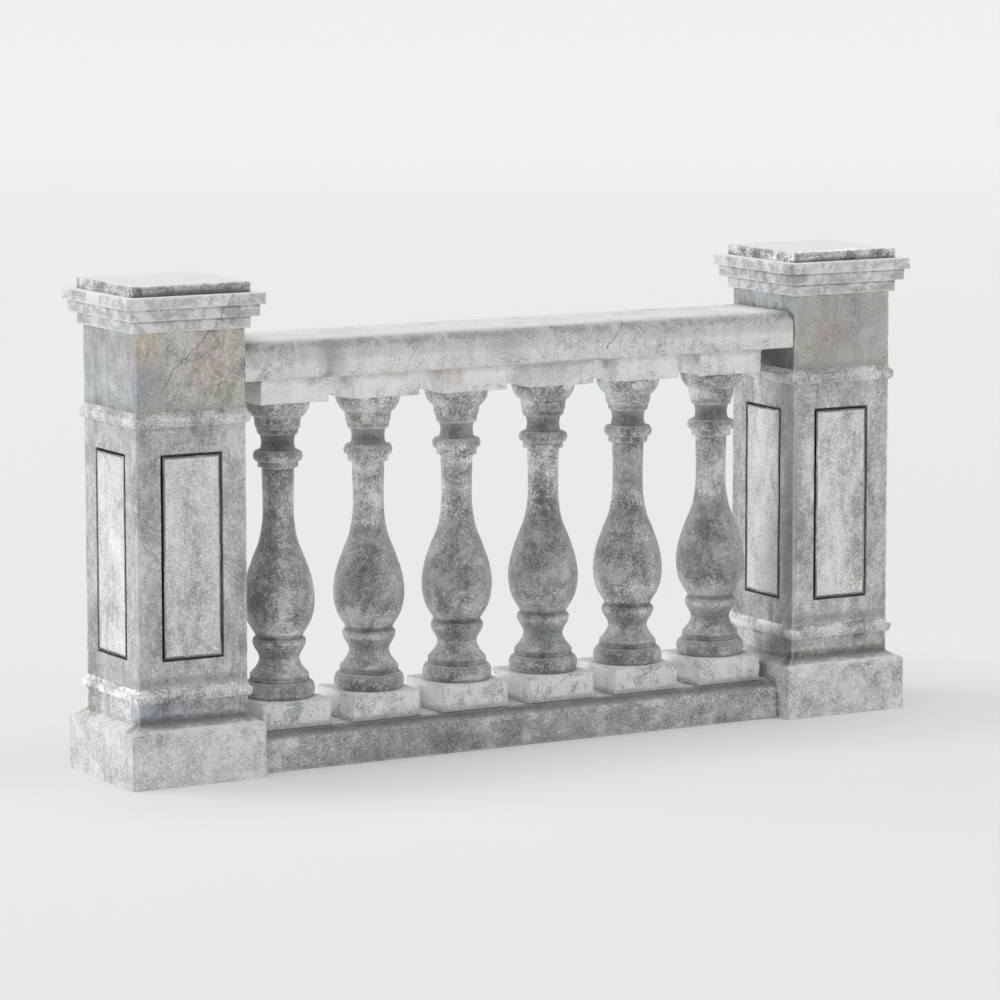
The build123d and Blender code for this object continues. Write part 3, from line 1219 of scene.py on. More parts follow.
@dataclass(frozen=True)
class StoneFinish:
    """Colours, pattern and weathering of one kind of stone."""

    kind: Kind
    slot: Slot
    groups: StoneGroups
    dark: Colour
    body: Colour
    pale: Colour
    # top and side are painted light and shade on upward and sideways faces; on the necks side also gives the
    # stone a bluish tint of its own
    top: Colour = (1.0, 1.0, 1.0)
    side: Colour = (1.0, 1.0, 1.0)
    nose: Colour = (1.0, 1.0, 1.0)
    block: Colour = (1.0, 1.0, 1.0)
    # the gain for the blocks' side faces is painted light, which makes them paler
    block_side_painted_light: Colour = (1.0, 1.0, 1.0)
    clean: Colour = (0.86, 0.86, 0.85)
    washed: float = 0.5
    # the share of clean colour on the abaci is painted light, which makes them paler under the shade of the
    # top rail
    block_clean_with_painted_light: float = 0.45
    stretch: Triple = (1.0, 1.0, 1.0)
    cloud_scale: float = 6.0
    patch_scale: float = 16.0
    speckle_scale: float = 200.0
    cloud_share: float = 0.45
    patch_share: float = 0.75
    speckle_share: float = 0.45
    fleck_share: float = 0.50
    pit_share: float = 0.65
    vein: Colour = (0.88, 0.88, 0.87)
    vein_share: float = 0.0
    vein_width: float = 0.028
    tint_share: float = 0.12
    wear_share: float = 0.50
    # the colour of grime and its share also paint the shade in hollows and sheltered places
    dirt_and_shade_share: float = 0.80
    dirt_and_shade_start: float = 0.12
    worn: Colour = (0.74, 0.74, 0.72)
    dirt: Colour = (0.085, 0.085, 0.082)
    streak: float = 0.0
    streak_scale: float = 55.0
    streak_tint: Colour = (0.70, 0.71, 0.73)
    rough_least: float = 0.72
    rough_most: float = 0.93
    shine: float = 0.35
    # The sheen layer stands for a film of dust and paints pale edges like a rim light.
    dust_and_sheen: float = 0.0
    dust_and_sheen_spread: float = 0.5
    relief: float = 0.0011
    grain_relief_share: float = 0.6
    # patches of discolouring, and of painted light and shade
    stains_and_painted_light: tuple[StainOrPaintedLight, ...] = ()
    cracks: tuple[Crack, ...] = ()

    def material(self) -> bpy.types.Material:
        """Gives the finish's material, building it at the first call."""
        made = bpy.data.materials.get(f"weathered_{self.kind.value}")
        return made if made else self.build()

    def build(self) -> bpy.types.Material:
        """Builds the material from the shared groups.

        Returns:
            The material.
        """
        material = bpy.data.materials.new(f"weathered_{self.kind.value}")
        material.use_nodes = True
        material.node_tree.nodes.clear()
        graph = Graph(material.node_tree)
        place = graph.add("ShaderNodeTexCoord").outputs["Object"]
        pattern = self.pattern(graph, place)
        colour = self.stained_and_painted_light(graph, place, pattern, self.exposed_and_painted_light(graph, pattern))
        colour, height = self.cracked(graph, place, pattern, self.weathered(graph, pattern, colour))
        inputs = {"Value": pattern["Speckle"], "To Min": self.rough_most, "To Max": self.rough_least}
        rough = graph.add("ShaderNodeMapRange", inputs).outputs["Result"]
        bump = graph.add("ShaderNodeBump", {"Height": height, "Distance": self.relief, "Strength": 1.0})
        inputs = {"Base Color": colour, "Roughness": rough, "Normal": bump.outputs[0]}
        # The sheen stands for a film of dust and paints a pale highlight on edges seen at a slant, like a
        # rim light.
        inputs |= {"Specular IOR Level": self.shine, "Sheen Weight": self.dust_and_sheen}
        inputs |= {"Sheen Roughness": self.dust_and_sheen_spread}
        shader = graph.add("ShaderNodeBsdfPrincipled", inputs)
        graph.add("ShaderNodeOutputMaterial", {"Surface": shader.outputs[0]})
        return material

    def pattern(self, graph: Graph, place: Socket) -> Any:
        """Places the natural pattern of the stone.

        Args:
            graph: The material's tree.
            place: Coordinates on the bay.

        Returns:
            The readings of the pattern, by name.
        """
        inputs = {"Position": place, "Stretch": self.stretch, "Vein Width": self.vein_width}
        inputs |= {f"{name} Scale": getattr(self, f"{name.lower()}_scale") for name in PATTERN_SCALES}
        return self.use(graph, self.groups.pattern, inputs)

    def exposed_and_painted_light(self, graph: Graph, pattern: Any) -> Socket:
        """Places the stone's own colours, their change with the way a face looks, and the painted light and
        shade on its side faces, tops and blocks.

        Args:
            graph: The material's tree.
            pattern: Readings of the pattern.

        Returns:
            The socket of the colour.
        """
        tones = {"Dark": self.dark, "Body": self.body, "Pale": self.pale, "Vein": self.vein}
        inputs = {name: (*tone, 1.0) for name, tone in tones.items()}
        inputs |= {name: pattern[name] for name in (*PATTERN_SOCKETS, "Tint")}
        inputs |= {f"{name} Share": getattr(self, f"{name.lower()}_share") for name in TONE_SHARES}
        colour = self.use(graph, self.groups.tone, inputs)["Color"]
        tones = {"Top": self.top, "Side": self.side, "Nose": self.nose, "Clean": self.clean}
        tones |= {"Block": self.block, "Block Side": self.block_side_painted_light}
        inputs = {name: (*tone, 1.0) for name, tone in tones.items()}
        inputs |= {"Color": colour, "Patches": pattern["Patches"]}
        inputs |= {"Washed": self.washed, "Block Clean": self.block_clean_with_painted_light}
        return self.use(graph, self.groups.exposure, inputs)["Color"]

    def stained_and_painted_light(self, graph: Graph, place: Socket, pattern: Any, colour: Socket) -> Socket:
        """Places the rain's streaks and the patches of discolouring and of painted light and shade.

        Args:
            graph: The material's tree.
            place: Coordinates on the bay.
            pattern: Readings of the pattern.
            colour: Colour so far.

        Returns:
            The socket of the new colour.
        """
        ragged = {"Position": place, "Patches": pattern["Patches"]}
        if self.streak:
            mask = self.use(graph, self.groups.streaks, ragged | {"Scale": self.streak_scale})["Mask"]
            streaked = graph.vector("MULTIPLY", colour, self.streak_tint)
            colour = graph.mix(graph.math("MULTIPLY", mask, self.streak), colour, streaked)
        ragged["Speckle"] = pattern["Speckle"]
        for stain_or_painted_light in self.stains_and_painted_light:
            spot = ragged | {"Centre": stain_or_painted_light.centre, "Extent": stain_or_painted_light.extent}
            mask = self.use(graph, self.groups.stain_or_painted_light, spot)["Mask"]
            stained_and_painted_light = graph.vector("MULTIPLY", colour, stain_or_painted_light.tint)
            colour = graph.mix(graph.math("MULTIPLY", mask, stain_or_painted_light.strength), colour, stained_and_painted_light)
        return colour

    def weathered(self, graph: Graph, pattern: Any, colour: Socket) -> Socket:
        """Places the worn arrises, and the grime with the painted shade in hollows and sheltered places.

        Args:
            graph: The material's tree.
            pattern: Readings of the pattern.
            colour: Colour so far.

        Returns:
            The socket of the new colour.
        """
        inputs = {"Color": colour, "Worn": (*self.worn, 1.0), "Dirt": (*self.dirt, 1.0)}
        inputs |= {name: pattern[name] for name in ("Patches", "Speckle")}
        inputs |= {"Wear Share": self.wear_share, "Dirt Share": self.dirt_and_shade_share}
        inputs |= {"Dirt Start": self.dirt_and_shade_start}
        return self.use(graph, self.groups.weather, inputs)["Color"]

    def cracked(self, graph: Graph, place: Socket, pattern: Any, colour: Socket) -> tuple[Socket, Socket]:
        """Places the cracks and the fine relief of the surface.

        Args:
            graph: The material's tree.
            place: Coordinates on the bay.
            pattern: Readings of the pattern.
            colour: Colour so far.

        Returns:
            The sockets of the new colour and of the height.
        """
        height = graph.math("MULTIPLY", pattern["Speckle"], self.grain_relief_share)
        height = graph.math("ADD", height, pattern["Patches"])
        for crack in self.cracks:
            line = {"Position": place, "Start": crack.start, "End": crack.end, "Width": crack.width}
            mask = self.use(graph, self.groups.crack, line)["Mask"]
            mask = graph.math("MULTIPLY", mask, crack.strength)
            colour = graph.mix(mask, colour, self.dirt)
            height = graph.math("SUBTRACT", height, mask)
        return colour, height

    @staticmethod
    def use(graph: Graph, group: bpy.types.NodeTree, inputs: dict[str, Any]) -> Any:
        """Places a shared group in a material and gives its outputs."""
        return graph.add("ShaderNodeGroup", inputs, node_tree=group).outputs


PANEL_WEAR = Wear(unevenness=0.0004, chip_depth=0.0010)
PIER_WEAR = {
    "cap": Wear(chip_depth=0.0018),
    "cornice": Wear(chip_depth=0.0014),
    "plinth": Wear(chip_depth=0.0024),
    "base_course": Wear(chip_depth=0.0011),
    "astragal": Wear(chip_depth=0.0011),
    **{f"{face.name.lower()}_panel": PANEL_WEAR for face in Face},
}


@dataclass
class Pier:
    """One panelled pier: its courses from the plinth to the cap, and the panels in its die."""

    name: str
    workshop: Workshop
    finishes: dict[Kind, StoneFinish]
    weathering_rise: float = 0.0145
    nose: float = 0.008
    nose_drop_share: float = 0.7
    cove: float = 0.005
    base_block: float = 0.041
    base_roll: float = 0.016
    base_band: float = 0.006
    astragal_roll: float = 0.014
    astragal_band: float = 0.009
    recess_wall: float = 0.0006
    groove: float = 0.005
    fascia_reaches: tuple[float, float, float] = (0.0100, 0.0257, 0.0352)
    cap_easing: float = 0.004
    cap_rings: int = 16

    def node(self, course: str) -> str:
        """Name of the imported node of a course."""
        return f"{self.name}_pier_{course}"

    def span(self, course: str) -> tuple[float, float, float]:
        """Half of a course's width, its lower level and its upper level."""
        low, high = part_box(self.node(course))
        return (high.x - low.x) / 2, low.z, high.z

    @property
    def axis(self) -> Triple:
        """Place of the pier's axis on the floor."""
        low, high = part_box(self.node("neck"))
        return ((low.x + high.x) / 2, (low.y + high.y) / 2, 0.0)

    @property
    def shaft(self) -> float:
        """Half of the shaft's width."""
        return self.span("neck")[0]

    def build(self) -> None:
        """Builds and dresses all the stones of the pier."""
        base = self.moulded("base_course", self.base_block, self.base_roll, self.base_band)
        astragal = self.moulded("astragal", 0.0, self.astragal_roll, self.astragal_band)
        sections = {
            "plinth": (self.plinth(), Kind.PLINTH),
            "base_course": (base, Kind.BASE),
            "astragal": (astragal, Kind.SHAFT),
            "neck": (self.plain("neck"), Kind.NECK),
            "cornice": (self.cornice(), Kind.CORNICE),
            "cap": (self.cap(), Kind.CAP),
        }
        for course, (section, kind) in sections.items():
            reach = self.span(course)[0]
            mesh = self.workshop.swept(section, square_plan(reach), place=self.axis, scale=reach)
            self.finish(course, mesh, kind)
        self.finish("die", self.die(), Kind.SHAFT)
        for face in Face:
            self.finish(f"{face.name.lower()}_panel", self.panel(face), Kind.PANEL)

    def finish(self, course: str, mesh: bpy.types.Mesh, kind: Kind) -> None:
        """Wears the mesh of a course and dresses it as one kind of stone."""
        wear = PIER_WEAR.get(course, Wear())
        self.workshop.finished(self.node(course), [mesh], wear, self.finishes[kind])

    def plain(self, course: str) -> Outline:
        """Section of a plain block between two beds."""
        reach, low, high = self.span(course)
        return Outline([(0.0, low)]).bed(reach, low).to(reach, high).bed(0.0, high)

    def plinth(self) -> Outline:
        """Section of the plinth: upright side, rounded nose, weathered slope and cove.

        Returns:
            The half section.
        """
        reach, low, high = self.span("plinth")
        shoulder = high - self.cove - self.weathering_rise
        slope = self.weathering_rise / (reach - self.shaft - self.cove)
        section = Outline([(0.0, low)]).bed(reach, low)
        section.to(reach, shoulder - self.nose * self.nose_drop_share)
        section.quarter(reach - self.nose, shoulder + self.nose * slope, upright_first=True)
        section.to(self.shaft + self.cove, high - self.cove)
        section.quarter(self.shaft, high, upright_first=False)
        return section.bed(0.0, high)

    def moulded(self, course: str, block: float, roll: float, band: float) -> Outline:
        """Section of a course with a roll, a band and a cavetto round its head.

        Args:
            course: Name of the course.
            block: Height of the plain block below the moulding.
            roll: Height of the roll.
            band: Height of the band.

        Returns:
            The half section.
        """
        crest, low, high = self.span(course)
        section = Outline([(0.0, low)]).bed(self.shaft, low)
        if block:
            section.to(self.shaft, low + block)
        section.quarter(crest, low + block + roll, upright_first=False)
        section.to(crest, low + block + roll + band)
        section.quarter(self.shaft, high, upright_first=False)
        return section.bed(0.0, high)

    def cornice(self) -> Outline:
        """Section of the cornice, with three fasciae that step out.

        Returns:
            The half section.
        """
        _, low, high = self.span("cornice")
        step = (high - low) / len(self.fascia_reaches)
        section = Outline([(0.0, low)]).bed(self.shaft - self.groove, low)
        for number, reach in enumerate(self.fascia_reaches):
            section.to(self.shaft + reach, low + number * step)
            section.to(self.shaft + reach, low + (number + 1) * step)
        cap_reach = self.span("cap")[0]
        return section.to(cap_reach - self.groove, high).bed(0.0, high)

    def cap(self) -> Outline:
        """Section of the cap slab, with a worn upper arris and its top in rings.

        Returns:
            The half section.
        """
        reach, low, high = self.span("cap")
        inner = reach - self.cap_easing
        section = Outline([(0.0, low)]).bed(reach, low).to(reach, high - self.cap_easing)
        section.quarter(inner, high, upright_first=True)
        for ring in range(1, self.cap_rings):
            section.add((inner * (1 - ring / self.cap_rings), high), Stretch.CURVE)
        return section.add((0.0, high), Stretch.CURVE)

    def panel_box(self) -> tuple[float, float, float, float]:
        """Half of a panel's width, its thickness, its lower level and its upper level."""
        low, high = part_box(self.node("front_panel"))
        return (high.x - low.x) / 2, high.y - low.y, low.z, high.z

    def die(self) -> bpy.types.Mesh:
        """Makes the die, with a recess pushed into each face.

        Returns:
            The mesh.
        """
        half, depth, panel_low, panel_high = self.panel_box()
        reach, low, high = self.span("die")
        side, foot, head = half + self.groove, panel_low - self.groove, panel_high + self.groove
        wall = self.recess_wall
        section = Outline([(0.0, low)]).bed(reach, low)
        for level in (foot, foot + wall, head - wall, head, high):
            section.to(reach, level)
        section.bed(0.0, high)
        plan = square_plan(reach, (-side, wall - side, side - wall, side))
        mesh = self.workshop.swept(section, plan, place=self.axis, scale=reach)
        places = np.empty(len(mesh.vertices) * 3, np.float32)
        mesh.vertices.foreach_get("co", places)
        places = places.reshape(-1, 3)
        offset = places - np.array(self.axis)
        between = (offset[:, 2] > foot + wall / 2) & (offset[:, 2] < head - wall / 2)
        for across, outward in ((0, 1), (1, 0)):
            inside = between & (np.abs(offset[:, across]) < side - wall / 2)
            inside &= np.abs(offset[:, outward]) > reach - depth / 2
            places[inside, outward] -= np.sign(offset[inside, outward]) * depth
        mesh.vertices.foreach_set("co", places.ravel())
        mesh.update()
        return mesh

    def panel(self, face: Face) -> bpy.types.Mesh:
        """Makes the slab of one panel.

        Args:
            face: Face of the pier that it is let into.

        Returns:
            The mesh.
        """
        half, thick, low, high = self.panel_box()
        plan = Outline([], [])
        corners = ((half, -thick / 2), (half, thick / 2), (-half, thick / 2), (-half, -thick / 2))
        for number, corner in enumerate(corners):
            plan.add(corner, Stretch.FACE if number == 0 else Stretch.CURVE)
        section = Outline([(0.0, low)]).add((1.0, low), Stretch.CURVE).to(1.0, high)
        section.add((0.0, high), Stretch.CURVE)
        turn = Quaternion((0, 0, 1), face.value * math.pi / 2)
        place = Vector(self.axis) + turn @ Vector((0.0, thick / 2 - self.shaft, 0.0))
        angle = (0.0, 0.0, face.value * math.pi / 2)
        return self.workshop.swept(section, plan, turn=angle, place=tuple(place))


@dataclass
class Rails:
    """The bottom rail and the top rail, each drawn along the bay with both upper edges rounded."""

    workshop: Workshop
    finishes: dict[Kind, StoneFinish]
    bottom_nose: float = 0.040
    top_nose: float = 0.028

    LIE_ALONG_X = (math.pi / 2, 0.0, math.pi / 2)

    def build(self) -> None:
        """Builds and dresses both rails."""
        for kind, nose in ((Kind.BOTTOM_RAIL, self.bottom_nose), (Kind.TOP_RAIL, self.top_nose)):
            node = kind.value
            low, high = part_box(node)
            half_depth = (high.y - low.y) / 2
            half_height = (high.z - low.z) / 2
            plan = Outline([], []).to(half_depth, -half_height).to(half_depth, half_height - nose)
            plan.quarter(half_depth - nose, half_height, upright_first=True)
            plan.to(nose - half_depth, half_height)
            plan.quarter(-half_depth, half_height - nose, upright_first=False)
            plan.to(-half_depth, -half_height)
            if kind is Kind.BOTTOM_RAIL:
                plan.stretches[0] = Stretch.BED
            section = Outline([(0.0, low.x)]).bed(1.0, low.x).to(1.0, high.x).bed(0.0, high.x)
            place = (0.0, (low.y + high.y) / 2, (low.z + high.z) / 2)
            mesh = self.workshop.swept(section, plan, turn=self.LIE_ALONG_X, place=place)
            self.workshop.finished(node, [mesh], Wear(), self.finishes[kind], axis=(1, 0, 0))


@dataclass
class Balusters:
    """The row of balusters: a square die, a turned vase and a square abacus, all of one stone."""

    workshop: Workshop
    finish: StoneFinish
    count: int = 6
    columns: int = 76
    easing: float = 0.0030
    tenon: float = 0.002
    die: float = 0.062
    abacus: float = 0.060
    collar_level: float = 0.517
    torus: Point = (0.081, 0.037)
    torus_crest: float = 0.017
    torus_foot: float = 0.0755
    torus_head: float = 0.0668
    foot_fillet: Point = (0.0680, 0.014)
    scotia: Point = (0.0467, 0.034)
    lip: Point = (0.062, 0.039)
    groove: Point = (0.0550, 0.0105)
    groove_bed: Point = (0.0556, 0.0055)
    belly_foot: Point = (0.0738, 0.032)
    belly: Point = (0.0822, 0.048)
    belly_head: Point = (0.0766, 0.043)
    shoulder: Point = (0.0602, 0.050)
    taper: Point = (0.0455, 0.038)
    throat: Point = (0.0386, 0.036)
    neck: Point = (0.0363, 0.068)
    neck_head: float = 0.038
    collar_foot: float = 0.0515
    collar_head: float = 0.046
    collar_fillet: Point = (0.0475, 0.015)
    collar: Point = (0.057, 0.026)
    necking: Point = (0.0385, 0.034)
    necking_end: float = 0.042
    bead: Point = (0.049, 0.015)
    bead_foot: float = 0.0455
    band: Point = (0.0545, 0.024)
    band_foot: float = 0.0515
    echinus: Point = (0.075, 0.037)
    echinus_foot: float = 0.0575
    scotia_leaving: Point = (-1.0, 1.0)
    belly_leaving: Point = (0.6, 1.0)
    necking_leaving: Point = (-0.4, 1.0)
    necking_arriving: Point = (0.4, 1.0)
    echinus_leaving: Point = (1.0, 0.9)
    wear: Wear = Wear(unevenness=0.0012, grain=0.0014, grain_scale=100.0, chip_depth=0.0024)

    UPRIGHT = (0.0, 1.0)

    def build(self) -> None:
        """Builds and dresses the whole row."""
        for number in range(1, self.count + 1):
            node = f"baluster_{number}"
            low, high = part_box(node)
            half = (high.x - low.x) / 2
            axis = ((low.x + high.x) / 2, (low.y + high.y) / 2, 0.0)
            blocks = (
                (self.die_section(half, low.z), Block.SOILED),
                (self.abacus_section(half, high.z), Block.CLEAN),
            )
            cut = {"place": axis, "easing": self.easing}
            shells = [
                self.workshop.swept(section, square_plan(half), scale=half, block=block, **cut)
                for section, block in blocks
            ]
            turned = self.turned_section(low.z + self.die)
            shells.append(self.workshop.swept(turned, round_plan(self.columns), **cut))
            self.workshop.finished(node, shells, self.wear, self.finish)

    def die_section(self, half: float, low: float) -> Outline:
        """Section of the square die, with the part of its head that shows.

        Args:
            half: Half of its width.
            low: Level of its foot.

        Returns:
            The half section.
        """
        high = low + self.die
        section = Outline([(0.0, low)]).bed(half, low).to(half, high).to(self.torus_head, high)
        return section.add((0.0, high), Stretch.CURVE)

    def abacus_section(self, half: float, high: float) -> Outline:
        """Section of the square abacus, with the part of its underside that shows.

        Args:
            half: Half of its width.
            high: Level of its head.

        Returns:
            The half section.
        """
        low = high - self.abacus
        section = Outline([(0.0, low)], [Stretch.CURVE]).add((self.echinus_foot, low), Stretch.CURVE)
        return section.to(half, low).to(half, high).bed(0.0, high)

    def turned_section(self, foot: float) -> Outline:
        """Section of the turned vase, whose two ends go a little way into the blocks.

        Args:
            foot: Level of the die's head.

        Returns:
            The half section.
        """
        line = Outline([(0.0, foot - self.tenon)]).bed(self.torus_foot, foot - self.tenon)
        line.add((self.torus_foot, foot), Stretch.CURVE)
        line.quarter(self.torus[0], foot + self.torus_crest, upright_first=False)
        level = foot + self.torus[1]
        line.quarter(self.torus_head, level, upright_first=True).to(self.foot_fillet[0], level)
        level += self.foot_fillet[1]
        line.to(self.foot_fillet[0], level)
        waist = (self.scotia[0], level + self.scotia[1])
        level = waist[1] + self.lip[1]
        lip = (self.lip[0], level)
        line.through(waist, lip, leaving=self.scotia_leaving, arriving=self.UPRIGHT)
        level += self.groove[1]
        line.quarter(self.groove[0], level, upright_first=True)
        level += self.groove_bed[1]
        line.to(self.groove_bed[0], level)
        knots = []
        swelling = (self.belly_foot, self.belly, self.belly_head)
        for radius, rise in (*swelling, self.shoulder, self.taper, self.throat, self.neck):
            level += rise
            knots.append((radius, level))
        line.through(*knots, leaving=self.belly_leaving, arriving=self.UPRIGHT)
        level = foot + self.collar_level
        line.to(self.neck_head, level).to(self.collar_fillet[0], level)
        level += self.collar_fillet[1]
        line.to(self.collar_fillet[0], level).to(self.collar_foot, level)
        line.quarter(self.collar[0], level + self.collar[1] / 2, upright_first=False)
        level += self.collar[1]
        line.quarter(self.collar_head, level, upright_first=True).to(self.necking_end, level)
        ends = (self.necking_end, level + self.necking[1])
        middle = (self.necking[0], level + self.necking[1] / 2)
        line.through(middle, ends, leaving=self.necking_leaving, arriving=self.necking_arriving)
        level = ends[1]
        line.to(self.bead_foot, level).quarter(self.bead[0], level + self.bead[1], upright_first=False)
        level += self.bead[1]
        line.to(self.band_foot, level).to(self.band[0], level + self.band[1])
        level += self.band[1]
        line.to(self.echinus_foot, level)
        level += self.echinus[1]
        line.through((self.echinus[0], level), leaving=self.echinus_leaving, arriving=self.UPRIGHT)
        level += self.tenon
        return line.add((self.echinus[0], level), Stretch.CURVE).bed(0.0, level)


@dataclass(frozen=True)
class Stage:
    """Pale floor, soft light and the camera."""

    floor_half: float = 120.0
    near_colour: Colour = (0.79, 0.79, 0.79)
    far_colour: Colour = (0.96, 0.96, 0.96)
    near_depth: float = -2.0
    far_depth: float = 26.0
    floor_rough: float = 0.9
    floor_shine: float = 0.1
    sky: float = 0.265
    top_light: float = 0.665
    top_direction: Triple = (-0.1, 0.0, 1.0)
    top_softness: float = math.radians(60)
    side_light: float = 0.47
    side_place: Triple = (-12.0, 9.0, 2.4)
    fill_light: float = 0.19
    fill_place: Triple = (16.0, -12.0, 5.0)
    softbox: Point = (7.0, 4.0)
    camera_place: Triple = (-5.3549, -9.3313, 2.0450)
    azimuth: float = math.radians(-29.85)
    elevation: float = math.radians(7.896)
    roll: float = math.radians(-0.057)
    lens: float = 169.98
    sensor: float = 36.0
    sight: float = 480.0

    def build(self) -> None:
        """Builds the floor, the lights and the camera."""
        self.floor()
        self.lights()
        self.camera()

    def floor(self) -> None:
        """Lays the floor, a little paler with depth."""
        half = self.floor_half
        mesh = bpy.data.meshes.new("floor")
        corners = ((-half, -half, 0), (half, -half, 0), (half, half, 0), (-half, half, 0))
        mesh.from_pydata(corners, [], [range(len(corners))])
        floor = placed("floor", mesh)
        material = bpy.data.materials.new("floor")
        material.use_nodes = True
        graph = Graph(material.node_tree)
        shader = graph.tree.nodes["Principled BSDF"]
        place = graph.add("ShaderNodeTexCoord").outputs["Object"]
        ahead = (-math.sin(self.azimuth), math.cos(self.azimuth), 0.0)
        depth = graph.vector("DOT_PRODUCT", place, ahead)
        share = graph.smooth(depth, self.near_depth, self.far_depth)
        inputs = {"Base Color": graph.mix(share, self.near_colour, self.far_colour)}
        inputs |= {"Roughness": self.floor_rough, "Specular IOR Level": self.floor_shine}
        graph.fill(shader, inputs)
        mesh.materials.append(material)

    def lights(self) -> None:
        """Sets an even sky, a soft light from above, one from the left and a weaker one from the right."""
        world = bpy.data.worlds.new("sky")
        world.use_nodes = True
        background = world.node_tree.nodes["Background"]
        background.inputs["Color"].default_value = (1.0, 1.0, 1.0, 1.0)
        background.inputs["Strength"].default_value = self.sky
        bpy.context.scene.world = world
        self.sun("top_light", self.top_direction, self.top_light, self.top_softness)
        self.panel_light("side_light", self.side_place, self.side_light, "left_pier_die")
        self.panel_light("fill_light", self.fill_place, self.fill_light, "right_pier_die")

    def panel_light(self, name: str, place: Triple, level: float, near_node: str) -> None:
        """Adds one broad light beside the bay, which fades along it.

        Args:
            name: Name of the light.
            place: Where it stands.
            level: Brightness of a white surface that faces it at the near end of the bay.
            near_node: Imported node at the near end.
        """
        light = bpy.data.lights.new(name, "AREA")
        light.shape = "RECTANGLE"
        light.size, light.size_y = self.softbox
        away = Vector(place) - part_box(near_node)[0]
        light.energy = level * math.pi**2 * away.length_squared
        lamp = placed(name, light)
        lamp.location = place
        lamp.rotation_euler = away.to_track_quat("Z", "Y").to_euler()
        lamp.visible_camera = False

    @staticmethod
    def sun(name: str, towards: Triple, level: float, softness: float) -> None:
        """Adds one distant soft light.

        Args:
            name: Name of the light.
            towards: Direction from the bay to the light.
            level: Brightness of a white surface that faces it.
            softness: Angle that the light fills.
        """
        light = bpy.data.lights.new(name, "SUN")
        light.energy = level * math.pi
        light.angle = softness
        lamp = placed(name, light)
        lamp.rotation_euler = Vector(towards).to_track_quat("Z", "Y").to_euler()

    def camera(self) -> None:
        """Sets the camera at the photograph's viewing angle."""
        flat = Vector((math.sin(self.azimuth), -math.cos(self.azimuth), 0.0)) * math.cos(self.elevation)
        back = flat + Vector((0.0, 0.0, math.sin(self.elevation)))
        data = bpy.data.cameras.new("camera")
        data.lens = self.lens
        data.sensor_width = self.sensor
        data.clip_end = self.sight
        camera = placed("camera", data)
        turn = back.to_track_quat("Z", "Y") @ Quaternion((0, 0, 1), self.roll)
        camera.location = self.camera_place
        camera.rotation_euler = turn.to_euler()
        bpy.context.scene.camera = camera


def grey(level: float) -> Colour:
    """A grey colour of that lightness."""
    return (level, level, level)


